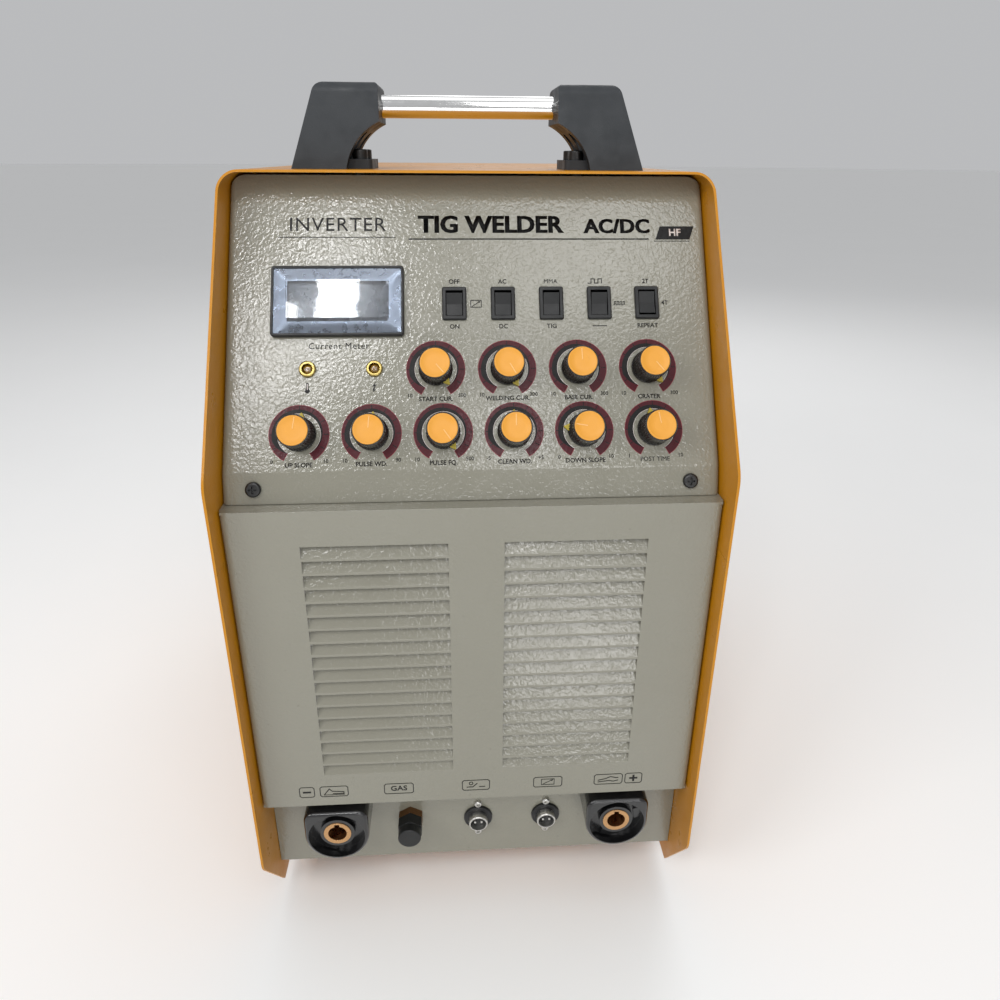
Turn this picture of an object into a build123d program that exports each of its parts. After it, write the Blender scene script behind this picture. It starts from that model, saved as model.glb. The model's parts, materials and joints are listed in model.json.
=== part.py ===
from build123d import *
import math
import os

os.makedirs("parts", exist_ok=True)

# TIG welding machine. +Z is up, the controls face -Y and +X is to the right of somebody
# who stands in front of them. The origin is on the ground under the middle of the box.

# ---------------------------------------------------------------- driving dimensions, mm
INNER_WIDTH = 300.0          # between the painted side sheets
SHEET = 1.5                  # steel sheet of the case and of its panels
FIT_GAP = 0.3                # play between a panel and the case around it
HALF_WIDTH = INNER_WIDTH / 2
OUTER_HALF = HALF_WIDTH + SHEET
PANEL_HALF = HALF_WIDTH - FIT_GAP

FOOT_HEIGHT = 14.0
FRONT_Y = -260.0             # front edge of the side sheets
REAR_Y = 240.0               # rear edge of the side sheets
FITTINGS_Y = 260.0           # where the longest fitting on the back ends
TOP_Z = 533.0                # top of the cover
SEAM_Z = 315.0               # where the cover meets the base
TOP_FRONT_Y = -160.0         # front edge of the roof
BEND_Z = 370.0               # where the sloping front edge turns vertical
CHAMFER_Z = 76.0             # where the front edge turns back towards the floor
FLOOR_FRONT_Y = -220.0       # front end of the side sheets' lower edge

PANEL_TILT = 29.3            # control panel's lean back from the vertical, degrees
PANEL_Y = -180.0             # a point of the control panel's face
PANEL_Z = 459.0
PANEL_TOP = 81.0             # measured up the slope from that point
PANEL_BEND = -106.5          # where the panel bends into the screw strip
STRIP_FOOT_Y = -237.0
LOUVRE_Y = -246.5            # face of the louvre panel
LOUVRE_TOP_Z = 348.0
LOUVRE_FOOT_Z = 118.5
CONNECTOR_Y = -224.0         # face of the recessed connector panel
CONNECTOR_FOOT_Z = 39.0
LIP_Y = -204.0               # front lip of the base, behind the toe recess
BACK_Y = 226.0               # inner face of the rear panel

LOUVRE_COUNT = 18
LOUVRE_PITCH = 10.0
LOUVRE_FIRST = 23.5          # from the panel's top to the first cut
LOUVRE_HEIGHT = 8.6
LOUVRE_DEPTH = 4.6
LOUVRE_SLIT = 1.4            # between the pushed sheet and the panel above it
LOUVRE_INNER_X = 17.0
LOUVRE_OUTER_X = 105.0

UPPER_ROW = -44.8            # dial rows, measured on the slope
LOWER_ROW = -83.6
UPPER_FIRST_X = -23.0
LOWER_FIRST_X = -104.5
UPPER_PITCH = 43.6
LOWER_PITCH = 42.8
KNOB_HEIGHT = 18.5
KNOB_BODY = 17.6
POINTER_R = 12.9
CAP_R = 8.8
KNOB_GAP = 0.6               # between the knob's skirt and the panel
SHAFT_R = 3.0
FIT = 0.05                   # radial running clearance

SWITCH_ROW = -3.5
SWITCH_FIRST_X = -11.1
SWITCH_PITCH = 30.1
ROCKER_TILT = 11.0
ROCKER_PIVOT = -2.0          # height of the rocker's pivot above the panel

METER_X = -82.0
METER_ROW = -2.0
METER_WIDTH = 80.0
METER_TALL = 44.0
METER_BEVEL_WIDTH = 8.5      # of the clear window, all round
METER_BEVEL_DEPTH = 4.0
LAMP_ROW = -44.0
LAMP_XS = (-100.0, -60.0)
LENS_R = 3.2
STRIP_SCREW_X = 131.0

SOCKET_X = 100.0             # output sockets
SOCKET_Z = 92.0
SOCKET_R = 22.4
SOCKET_LENGTH = 26.0
DISH_R = 19.8                # of the sunk round front
COLLAR_R = 12.2              # of the plastic round the contact
CONTACT_R = 9.6
PLUG_R = 6.5                 # bore for the cable plug's pin
GAS_X = -50.0
GAS_Z = 78.0
CONTROL_XS = (0.5, 51.5)     # control sockets
CONTROL_Z = 75.0
CONTROL_SCREW = 13.5
BARREL_R = 6.7
PLUG_THREAD_R = 7.0          # front of the barrel, where the plug's ring goes
PIN_OFFSET = 2.4
PIN_R = 0.9

HANDLE_Y = -107.0
HANDLE_DEPTH = 58.0
HANDLE_TOP = 51.0            # above the cover
TUBE_R = 7.0
TUBE_Z = TOP_Z + 38.0
BRACKET_INNER_X = 56.5
BRACKET_OUTER_X = 112.5

FAN_Z = 335.0
FAN_SIZE = 120.0
FAN_DEPTH = 38.0
FAN_HOLE_SPACING = 105.0
GUARD_RINGS = (15.0, 23.5, 32.0, 40.5, 49.0, 57.5)
BREAKER_X = -95.0
BREAKER_Z = 450.0
GLAND_X = -95.0
INLET_X = 95.0
REAR_FITTING_Z = 75.0
STUD_X = 30.0
STUD_Z = 52.0
DECK_Z = 205.0               # shelf over the transformer
BREAKER_REST = -30.0         # lever angle above the level, down is off

# name, column from the left in its row, row, pointer angle clockwise from the top, degrees
KNOBS = [
    ("knob_start_current", 0, UPPER_ROW, 140),
    ("knob_weld_current", 1, UPPER_ROW, 150),
    ("knob_base_current", 2, UPPER_ROW, -2),
    ("knob_crater_current", 3, UPPER_ROW, 140),
    ("knob_up_slope", 0, LOWER_ROW, 8),
    ("knob_pulse_width", 1, LOWER_ROW, 5),
    ("knob_pulse_frequency", 2, LOWER_ROW, 145),
    ("knob_cleaning_width", 3, LOWER_ROW, 0),
    ("knob_down_slope", 4, LOWER_ROW, -80),
    ("knob_post_flow", 5, LOWER_ROW, -10),
]

# name and resting tilt about +X, negative when the upper end is pressed in
ROCKERS = [
    ("rocker_remote", ROCKER_TILT),
    ("rocker_ac_dc", ROCKER_TILT),
    ("rocker_process", ROCKER_TILT),
    ("rocker_pulse", ROCKER_TILT),
    ("rocker_trigger_mode", 0.0),
]

FOOT_PLACES = [(x, y) for x in (-118.0, 118.0) for y in (-178.0, 200.0)]
COVER_SCREW_YS = (-200.0, -70.0, 70.0, 205.0)
COVER_SCREW_Z = SEAM_Z + 10.0
HANDLE_BOLT_PLACES = [(x, HANDLE_Y + y) for x in (-71.0, 71.0) for y in (-12.0, 12.0)]
FAN_SCREW_PLACES = [
    (x, FAN_Z + z)
    for x in (-FAN_HOLE_SPACING / 2, FAN_HOLE_SPACING / 2)
    for z in (-FAN_HOLE_SPACING / 2, FAN_HOLE_SPACING / 2)
]
REAR_SCREW_PLACES = [(x, z) for x in (-143.0, 143.0) for z in (60.0, 275.0, 500.0)]

tilt = math.radians(PANEL_TILT)
PANEL = Plane(
    origin=(0, PANEL_Y, PANEL_Z),
    x_dir=(1, 0, 0),
    z_dir=(0, -math.cos(tilt), math.sin(tilt)),
)


# ---------------------------------------------------------------- helpers
def block(low, high):
    """A box between two corners."""
    size = [b - a for a, b in zip(low, high)]
    centre = [(a + b) / 2 for a, b in zip(low, high)]
    return Pos(*centre) * Box(*size)


def prism(points, x_low, x_high):
    """A (y, z) outline extruded along X."""
    outline = Polyline(*[(x_low, y, z) for y, z in points], close=True)
    return extrude(make_face(outline), x_high - x_low, dir=(1, 0, 0))


def rod(radius, start, end):
    """A round bar between two points."""
    path = Vector(*end) - Vector(*start)
    bar = Plane(origin=start, z_dir=path) * Cylinder(
        radius, path.length, align=(Align.CENTER, Align.CENTER, Align.MIN)
    )
    return bar


def hexagon(across_flats, start, end):
    """A hexagonal bar between two points, for nuts."""
    path = Vector(*end) - Vector(*start)
    radius = across_flats / math.sqrt(3)
    return extrude(Plane(origin=start, z_dir=path) * RegularPolygon(radius, 6), path.length)


def slope_point(along, out=0.0):
    """(y, z) of a point on the control panel: up the slope, then out of its face."""
    y = PANEL_Y + along * math.sin(tilt) - out * math.cos(tilt)
    z = PANEL_Z + along * math.cos(tilt) + out * math.sin(tilt)
    return y, z


def knob_place(column, row):
    """(x, along the slope) of a dial."""
    if row == UPPER_ROW:
        return UPPER_FIRST_X + UPPER_PITCH * column, row
    return LOWER_FIRST_X + LOWER_PITCH * column, row


def mirrored(shape):
    """The shape and its twin on the other side of the machine."""
    return [shape, mirror(shape, about=Plane.YZ)]


def save(name, *solids):
    """Writes one named sub-part."""
    bodies = []
    for solid in solids:
        bodies += list(solid.solids())
    shape = bodies[0] if len(bodies) == 1 else Compound(children=bodies)
    export_step(shape, f"parts/{name}.step")


# ---------------------------------------------------------------- case
def side_outline(low_z, high_z):
    """The machine's side view between two heights, as a plate across the whole width."""
    points = [
        (TOP_FRONT_Y, TOP_Z),
        (FRONT_Y, BEND_Z),
        (FRONT_Y, CHAMFER_Z),
        (FLOOR_FRONT_Y, FOOT_HEIGHT),
        (REAR_Y, FOOT_HEIGHT),
        (REAR_Y, TOP_Z),
    ]
    plate = prism(points, -OUTER_HALF, OUTER_HALF)
    front = [e for e in plate.edges().filter_by(Axis.X) if abs(e.center().Y - FRONT_Y) < 0.1]
    plate = fillet(front, 18)
    return plate & block((-OUTER_HALF, FRONT_Y, low_z), (OUTER_HALF, REAR_Y, high_z))


def channel(top_radius, low_z, high_z, open_low):
    """A U-shaped sheet along Y, open below or above."""
    corner_z = high_z if open_low else low_z
    outer = block((-OUTER_HALF, FRONT_Y, low_z), (OUTER_HALF, REAR_Y, high_z))
    inner_low = low_z - 1 if open_low else low_z + SHEET
    inner_high = high_z - SHEET if open_low else high_z + 1
    inner = block((-HALF_WIDTH, FRONT_Y - 1, inner_low), (HALF_WIDTH, REAR_Y + 1, inner_high))
    inner_z = inner_high if open_low else inner_low
    corners = [e for e in outer.edges().filter_by(Axis.Y) if abs(e.center().Z - corner_z) < 0.1]
    outer = fillet(corners, top_radius)
    corners = [e for e in inner.edges().filter_by(Axis.Y) if abs(e.center().Z - inner_z) < 0.1]
    inner = fillet(corners, top_radius - SHEET)
    return outer - inner


def cover_screw_holes(radius):
    holes = []
    for y in COVER_SCREW_YS:
        holes.append(rod(radius, (-OUTER_HALF - 5, y, COVER_SCREW_Z), (OUTER_HALF + 5, y, COVER_SCREW_Z)))
    return holes


def make_top_cover():
    cover = channel(12, SEAM_Z, TOP_Z, True) & side_outline(SEAM_Z, TOP_Z)
    cover -= cover_screw_holes(2.6)
    for x, y in HANDLE_BOLT_PLACES:
        cover -= rod(3.3, (x, y, TOP_Z - 5), (x, y, TOP_Z + 5))
    return cover


def make_base_tray():
    tray = channel(5, FOOT_HEIGHT, SEAM_Z - FIT_GAP, False) & side_outline(FOOT_HEIGHT, SEAM_Z - FIT_GAP)
    floor_top = FOOT_HEIGHT + SHEET
    tray -= block((-HALF_WIDTH, FRONT_Y, FOOT_HEIGHT - 1), (HALF_WIDTH, LIP_Y, 60))
    tray -= block((-HALF_WIDTH, BACK_Y + SHEET, FOOT_HEIGHT - 1), (HALF_WIDTH, REAR_Y, 60))
    tray += block((-HALF_WIDTH, LIP_Y, FOOT_HEIGHT), (HALF_WIDTH, LIP_Y + SHEET, CONNECTOR_FOOT_Z))
    for side in (-1, 1):
        x_in = side * (HALF_WIDTH - SHEET)
        x_out = side * HALF_WIDTH
        low = (min(x_in, x_out), -225, SEAM_Z - 25)
        high = (max(x_in, x_out), BACK_Y - 12, SEAM_Z + 20)
        tray += block(low, high)
    tray -= cover_screw_holes(2.6)
    for x, y in FOOT_PLACES:
        tray -= rod(2.7, (x, y, FOOT_HEIGHT - 1), (x, y, floor_top + 1))
    return tray


def make_rubber_feet():
    """Rubber feet, each pushed through the floor by its stem."""
    feet = []
    for x, y in FOOT_PLACES:
        foot = Pos(x, y, FOOT_HEIGHT / 2) * Cone(14, 17, FOOT_HEIGHT)
        foot = fillet(foot.edges().group_by(Axis.Z)[0], 2)
        foot += rod(2.6, (x, y, FOOT_HEIGHT - 1), (x, y, FOOT_HEIGHT + SHEET + 4))
        foot += rod(4.0, (x, y, FOOT_HEIGHT + SHEET), (x, y, FOOT_HEIGHT + SHEET + 2))
        feet.append(foot - rod(5.5, (x, y, -1), (x, y, 5)))
    return feet


def pan_screw(head_r, shank_r, length):
    """A cross-recessed pan-head screw that points along -Z, with its head on Z = 0."""
    head = Cylinder(head_r, 2.6, align=(Align.CENTER, Align.CENTER, Align.MIN))
    head = fillet(head.edges().group_by(Axis.Z)[-1], 1.3)
    head -= Pos(0, 0, 2.6) * Box(head_r, 1.1, 2.4)
    head -= Pos(0, 0, 2.6) * Box(1.1, head_r, 2.4)
    return head + Pos(0, 0, -length) * Cylinder(
        shank_r, length, align=(Align.CENTER, Align.CENTER, Align.MIN)
    )


def make_cover_screws():
    screws = []
    for y in COVER_SCREW_YS:
        place = Plane(origin=(OUTER_HALF, y, COVER_SCREW_Z), z_dir=(1, 0, 0))
        screws += mirrored(place * pan_screw(4.5, 2.4, 9))
    return screws


# ---------------------------------------------------------------- front panels
def bent_channel(length, depth, radius):
    """A sheet face at Z = 0 with flanges folded back at both sides, running along Y."""
    align = (Align.CENTER, Align.CENTER, Align.MAX)
    outer = Box(2 * PANEL_HALF, length, depth, align=align)
    fronts = [e for e in outer.edges().filter_by(Axis.Y) if abs(e.center().Z) < 0.01]
    outer = fillet(fronts, radius)
    inner = Pos(0, 0, -SHEET) * Box(2 * (PANEL_HALF - SHEET), length + 2, depth, align=align)
    fronts = [e for e in inner.edges().filter_by(Axis.Y) if abs(e.center().Z + SHEET) < 0.01]
    inner = fillet(fronts, radius - SHEET)
    return outer - inner


def dial_places():
    return [knob_place(column, row) for _, column, row, _ in KNOBS]


def switch_places():
    return [(SWITCH_FIRST_X + SWITCH_PITCH * i, SWITCH_ROW) for i in range(len(ROCKERS))]


def strip_plane(x):
    """A plane in the middle of the screw strip, facing out of it."""
    bend_y, bend_z = slope_point(PANEL_BEND)
    foot_z = LOUVRE_TOP_Z + FIT_GAP
    rise_y = bend_y - STRIP_FOOT_Y
    rise_z = bend_z - foot_z
    origin = (x, (bend_y + STRIP_FOOT_Y) / 2, (bend_z + foot_z) / 2)
    return Plane(origin=origin, x_dir=(1, 0, 0), z_dir=(0, -rise_z, rise_y))


def panel_solid(near, far, half_width, radius, extra):
    """The space between two depths behind the panel and its strip, rounded at the sides in front."""
    lean = math.radians(PANEL_TILT)
    bend_y, bend_z = slope_point(PANEL_BEND)
    foot_z = LOUVRE_TOP_Z + FIT_GAP
    strip_lean = math.atan2(bend_y - STRIP_FOOT_Y, bend_z - foot_z)
    inward = Vector(math.cos(lean), -math.sin(lean))
    strip_inward = Vector(math.cos(strip_lean), -math.sin(strip_lean))
    middle = (inward + strip_inward) / (1 + inward.dot(strip_inward))
    down = Vector(-math.sin(strip_lean), -math.cos(strip_lean))
    points = []
    for depth in (near, far):
        top = slope_point(PANEL_TOP + extra, -depth)
        corner = Vector(bend_y, bend_z) + middle * depth
        foot = Vector(STRIP_FOOT_Y, foot_z) + strip_inward * depth + down * extra
        points.append([top, (corner.X, corner.Y), (foot.X, foot.Y)])
    solid = prism(points[0] + points[1][::-1], -half_width, half_width)
    crease = solid.edges().filter_by(Axis.X).sort_by_distance((0, *points[0][1]))[0]
    solid = fillet(crease, radius + 1)
    fronts = [
        e
        for e in solid.edges()
        if abs(e.center().X) > half_width - 0.01 and PANEL.to_local_coords(e.center()).Z > -near - 4
    ]
    return fillet(fronts, radius)


def make_control_panel():
    panel = panel_solid(0, 14, PANEL_HALF, 4, 0)
    panel -= panel_solid(SHEET, 18, PANEL_HALF - SHEET, 4 - SHEET, 3)
    mask = Box(2 * PANEL_HALF, 2 * PANEL_TOP, 60)
    tops = [e for e in mask.edges().filter_by(Axis.Z) if e.center().Y > 0]
    corner_cut = Box(2 * PANEL_HALF + 20, 2 * PANEL_TOP, 60) - fillet(tops, 10.5)
    panel -= PANEL * corner_cut
    panel &= block((-PANEL_HALF, FRONT_Y, LOUVRE_TOP_Z + FIT_GAP), (PANEL_HALF, 0, TOP_Z))
    for x, along in dial_places():
        panel -= PANEL * Pos(x, along, 0) * Cylinder(3.8, 12)
    for x, along in switch_places():
        panel -= PANEL * Pos(x, along, 0) * Box(13.4, 19.4, 8)
    panel -= PANEL * Pos(METER_X, METER_ROW, 0) * Box(METER_WIDTH - 7.6, METER_TALL - 7.6, 8)
    for x in LAMP_XS:
        panel -= PANEL * Pos(x, LAMP_ROW, 0) * Cylinder(4.1, 8)
    for x in (-STRIP_SCREW_X, STRIP_SCREW_X):
        panel -= strip_plane(x) * Cylinder(2.2, 8)
    return panel


def louvre(top_z, x_low, x_high):
    """One pressed louvre: the sheet pushed in behind the panel, and the hollow in front of it."""
    foot_z = top_z - LOUVRE_HEIGHT
    slit_z = top_z - LOUVRE_SLIT
    deep_y = LOUVRE_Y + LOUVRE_DEPTH
    lean = (slit_z - foot_z) / LOUVRE_DEPTH
    pushed = [
        (LOUVRE_Y + SHEET / 2, foot_z - 0.6),
        (deep_y + 1.3, slit_z),
        (LOUVRE_Y + SHEET / 2, top_z + 0.3),
    ]
    hollow = [
        (LOUVRE_Y - 1, foot_z - lean),
        (deep_y, slit_z),
        (deep_y + 3, slit_z),
        (deep_y + 3, top_z - 0.2),
        (LOUVRE_Y - 1, top_z - 0.2),
    ]
    return prism(pushed, x_low - 1.2, x_high + 1.2), prism(hollow, x_low, x_high)


def make_louvre_panel():
    height = LOUVRE_TOP_Z - LOUVRE_FOOT_Z
    middle_z = LOUVRE_FOOT_Z + height / 2
    place = Plane(origin=(0, LOUVRE_Y, middle_z), x_dir=(1, 0, 0), z_dir=(0, -1, 0))
    panel = place * bent_channel(height, 20, 4)
    foot_back = CONNECTOR_Y - FIT_GAP
    low_x = -PANEL_HALF + 1
    panel += block((low_x, LOUVRE_Y + 0.4, LOUVRE_FOOT_Z), (-low_x, foot_back, LOUVRE_FOOT_Z + SHEET))
    panel += block(
        (low_x, LOUVRE_Y + 0.4, LOUVRE_TOP_Z - SHEET),
        (-low_x, STRIP_FOOT_Y + 6.5, LOUVRE_TOP_Z),
    )
    pushed = []
    hollows = []
    for i in range(LOUVRE_COUNT):
        top_z = LOUVRE_TOP_Z - LOUVRE_FIRST - LOUVRE_PITCH * i
        for x_low in (-LOUVRE_OUTER_X, LOUVRE_INNER_X):
            sheet, hollow = louvre(top_z, x_low, x_low + LOUVRE_OUTER_X - LOUVRE_INNER_X)
            pushed.append(sheet)
            hollows.append(hollow)
    panel = panel + pushed - hollows
    for x in (-STRIP_SCREW_X, STRIP_SCREW_X):
        tab = Pos(0, 0, -SHEET - 0.1) * Box(16, 15, SHEET, align=(Align.CENTER, Align.CENTER, Align.MAX))
        tab = strip_plane(x) * Pos(0, -3, 0) * tab
        panel += tab
        panel -= strip_plane(x) * Cylinder(2.2, 20)
    return panel


def make_connector_panel():
    back_y = CONNECTOR_Y + SHEET
    top_z = 150.0
    panel = block((-PANEL_HALF, CONNECTOR_Y, CONNECTOR_FOOT_Z), (PANEL_HALF, back_y, top_z))
    flange_z = CONNECTOR_FOOT_Z + SHEET
    panel += block((-PANEL_HALF, CONNECTOR_Y, CONNECTOR_FOOT_Z), (PANEL_HALF, LIP_Y + 8, flange_z))
    side = block((PANEL_HALF - SHEET, CONNECTOR_Y, CONNECTOR_FOOT_Z), (PANEL_HALF, LIP_Y, top_z))
    panel += mirrored(side)
    for x in (-SOCKET_X, SOCKET_X):
        panel -= Pos(x, CONNECTOR_Y, SOCKET_Z) * Rot(90, 0, 0) * Cylinder(15.2, 12)
    panel -= Pos(GAS_X, CONNECTOR_Y, GAS_Z) * Rot(90, 0, 0) * Cylinder(6.2, 12)
    for x in CONTROL_XS:
        panel -= Pos(x, CONNECTOR_Y, CONTROL_Z) * Rot(90, 0, 0) * Cylinder(7.2, 12)
        for rise in (-CONTROL_SCREW, CONTROL_SCREW):
            panel -= Pos(x, CONNECTOR_Y, CONTROL_Z + rise) * Rot(90, 0, 0) * Cylinder(1.6, 12)
    return panel


def make_panel_screws():
    return [strip_plane(x) * pan_screw(4.6, 2.0, 9) for x in (-STRIP_SCREW_X, STRIP_SCREW_X)]


# ---------------------------------------------------------------- rear panel and fan
def make_rear_panel():
    back_y = BACK_Y + SHEET
    low_z = FOOT_HEIGHT + SHEET + FIT_GAP
    high_z = TOP_Z - SHEET - FIT_GAP
    outer = block((-PANEL_HALF, BACK_Y - 12, low_z), (PANEL_HALF, back_y, high_z))
    corners = [e for e in outer.edges().filter_by(Axis.Y) if e.center().Z > high_z - 1]
    outer = fillet(corners, 10.5)
    corners = [e for e in outer.edges().filter_by(Axis.Y) if e.center().Z < low_z + 1]
    outer = fillet(corners, 5)
    inner_half = PANEL_HALF - SHEET
    inner = block((-inner_half, BACK_Y - 13, low_z + SHEET), (inner_half, BACK_Y, high_z - SHEET))
    corners = [e for e in inner.edges().filter_by(Axis.Y) if e.center().Z > high_z - 2]
    inner = fillet(corners, 9)
    corners = [e for e in inner.edges().filter_by(Axis.Y) if e.center().Z < low_z + 2]
    inner = fillet(corners, 3.5)
    panel = outer - inner
    through = Rot(90, 0, 0)
    panel -= Pos(0, BACK_Y, FAN_Z) * through * Cylinder(56, 12)
    for x, z in FAN_SCREW_PLACES + REAR_SCREW_PLACES:
        panel -= Pos(x, BACK_Y, z) * through * Cylinder(2.2, 12)
    panel -= Pos(BREAKER_X, BACK_Y, BREAKER_Z) * Box(35.4, 12, 45.4)
    panel -= Pos(GLAND_X, BACK_Y, REAR_FITTING_Z) * through * Cylinder(10.1, 12)
    panel -= Pos(INLET_X, BACK_Y, REAR_FITTING_Z) * through * Cylinder(6.1, 12)
    panel -= Pos(STUD_X, BACK_Y, STUD_Z) * through * Cylinder(3.2, 12)
    return panel


def make_rear_screws():
    outside = BACK_Y + SHEET
    screws = []
    for x, z in REAR_SCREW_PLACES:
        place = Plane(origin=(x, outside, z), x_dir=(1, 0, 0), z_dir=(0, 1, 0))
        screws.append(place * pan_screw(4.2, 2.0, 9))
    for x, z in FAN_SCREW_PLACES:
        place = Plane(origin=(x, outside + 3.2, z), x_dir=(1, 0, 0), z_dir=(0, 1, 0))
        screws.append(place * pan_screw(4.2, 2.0, 42))
    return screws


def make_fan_frame():
    front_y = BACK_Y - FAN_DEPTH
    half = FAN_SIZE / 2
    frame = block((-half, front_y, FAN_Z - half), (half, BACK_Y, FAN_Z + half))
    frame = fillet(frame.edges().filter_by(Axis.Y), 6)
    axis = Pos(0, (front_y + BACK_Y) / 2, FAN_Z) * Rot(90, 0, 0)
    frame -= axis * Cylinder(56, FAN_DEPTH + 2)
    for x, z in FAN_SCREW_PLACES:
        frame -= rod(2.2, (x, front_y - 1, z), (x, BACK_Y + 1, z))
    hub = rod(24, (0, front_y, FAN_Z), (0, front_y + 5, FAN_Z))
    for angle in (45, 165, 285):
        strut = Box(7, 36, 4, align=(Align.CENTER, Align.MIN, Align.MIN))
        frame += Pos(0, front_y, FAN_Z) * Rot(0, angle, 0) * Rot(90, 0, 0) * Pos(0, 22, -4) * strut
    hub += rod(7, (0, front_y + 5, FAN_Z), (0, front_y + 8, FAN_Z))
    frame += hub
    frame -= rod(2.5 + FIT, (0, front_y - 1, FAN_Z), (0, front_y + 9, FAN_Z))
    return frame


def make_fan_rotor():
    front_y = BACK_Y - FAN_DEPTH
    low_y = front_y + 9
    high_y = BACK_Y - 3
    rotor = rod(22, (0, low_y, FAN_Z), (0, high_y, FAN_Z))
    rotor = fillet(rotor.edges().group_by(Axis.Y)[-1], 2)
    rotor += rod(2.5, (0, front_y + 0.5, FAN_Z), (0, low_y + 1, FAN_Z))
    for i in range(7):
        blade = Box(2.2, 32.5, 30, align=(Align.CENTER, Align.MIN, Align.CENTER))
        blade = Rot(0, 38, 0) * blade
        turn = Rot(0, i * 360 / 7, 0) * Rot(90, 0, 0)
        rotor += Pos(0, (low_y + high_y) / 2, FAN_Z) * turn * Pos(0, 21, 0) * blade
    rotor &= rod(54.5, (0, front_y, FAN_Z), (0, high_y, FAN_Z))
    return rotor


def make_fan_guard():
    """A wire guard: rings on four spokes that run from a middle disc to the screw pads."""
    outside = BACK_Y + SHEET
    wire = 1.1
    ring_y = outside + 3.6
    guard = rod(7, (0, outside + 1, FAN_Z), (0, outside + 4.7, FAN_Z))
    for x, z in FAN_SCREW_PLACES:
        start = (x * 0.08, outside + 2.1, FAN_Z + (z - FAN_Z) * 0.08)
        end = (x * 0.95, outside + 2.1, FAN_Z + (z - FAN_Z) * 0.95)
        guard += rod(wire, start, end)
        guard += rod(4.6, (x, outside, z), (x, outside + 3.2, z))
    for radius in GUARD_RINGS:
        ring = rod(radius + wire, (0, ring_y - wire, FAN_Z), (0, ring_y + wire, FAN_Z))
        ring -= rod(radius - wire, (0, ring_y - 2 * wire, FAN_Z), (0, ring_y + 2 * wire, FAN_Z))
        guard += chamfer(ring.edges(), 0.5)
    for x, z in FAN_SCREW_PLACES:
        guard -= rod(2.2, (x, outside - 1, z), (x, outside + 6, z))
    return guard


# ---------------------------------------------------------------- rear fittings
def make_breaker_body():
    outside = BACK_Y + SHEET
    x, z = BREAKER_X, BREAKER_Z
    body = block((x - 18, BACK_Y - 58, z - 40), (x + 18, BACK_Y - FIT_GAP, z + 40))
    nose = block((x - 17.5, BACK_Y - 1, z - 22.5), (x + 17.5, outside + 9, z + 22.5))
    body += fillet(nose.edges().filter_by(Axis.X), 1.0)
    body -= block((x - 12, outside - 6, z - 14), (x + 12, outside + 10, z + 14))
    body -= block((x - 12, outside - 10, z - 9), (x + 12, outside, z + 9))
    body -= rod(1.5 + FIT, (x - 14, outside, z), (x + 14, outside, z))
    return body


def make_breaker_lever():
    outside = BACK_Y + SHEET
    x, z = BREAKER_X, BREAKER_Z
    lever = rod(7.5, (x - 11.5, outside, z), (x + 11.5, outside, z))
    arm = Pos(x, outside, z) * Rot(BREAKER_REST, 0, 0) * block((-11.5, 0, -2.2), (11.5, 19, 2.2))
    lever += fillet(arm.edges().group_by(Axis.Y)[-1], 1.0)
    lever += rod(1.5, (x - 13.8, outside, z), (x + 13.8, outside, z))
    return lever


def make_cable_gland():
    outside = BACK_Y + SHEET
    x, z = GLAND_X, REAR_FITTING_Z
    gland = hexagon(27, (x, outside, z), (x, outside + 7, z))
    gland += rod(11.5, (x, outside + 7, z), (x, outside + 9, z))
    gland += hexagon(25, (x, outside + 9, z), (x, outside + 19, z))
    dome = Pos(x, outside + 19, z) * Rot(-90, 0, 0) * Cone(
        12.2, 8.6, 8, align=(Align.CENTER, Align.CENTER, Align.MIN)
    )
    gland += dome
    gland += rod(10, (x, BACK_Y - 10, z), (x, outside, z))
    gland += hexagon(26, (x, BACK_Y - 5, z), (x, BACK_Y, z))
    return gland - rod(6.5, (x, BACK_Y - 12, z), (x, outside + 30, z))


def make_gas_inlet():
    outside = BACK_Y + SHEET
    x, z = INLET_X, REAR_FITTING_Z
    inlet = hexagon(17, (x, outside, z), (x, outside + 6, z))
    inlet += rod(6, (x, BACK_Y - 12, z), (x, outside, z))
    inlet += hexagon(16, (x, BACK_Y - 5, z), (x, BACK_Y, z))
    inlet += rod(4.5, (x, outside + 6, z), (x, FITTINGS_Y, z))
    for start in (14.0, 20.0):
        barb = Cone(5.2, 4.5, 5, align=(Align.CENTER, Align.CENTER, Align.MIN))
        inlet += Pos(x, outside + start, z) * Rot(-90, 0, 0) * barb
    return inlet - rod(2.6, (x, BACK_Y - 13, z), (x, FITTINGS_Y + 1, z))


def make_earth_stud():
    outside = BACK_Y + SHEET
    x, z = STUD_X, STUD_Z
    stud = rod(3, (x, BACK_Y - 8, z), (x, outside + 20, z))
    stud += hexagon(10, (x, BACK_Y - 5, z), (x, BACK_Y, z))
    stud += hexagon(10, (x, outside, z), (x, outside + 4.5, z))
    return stud


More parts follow.
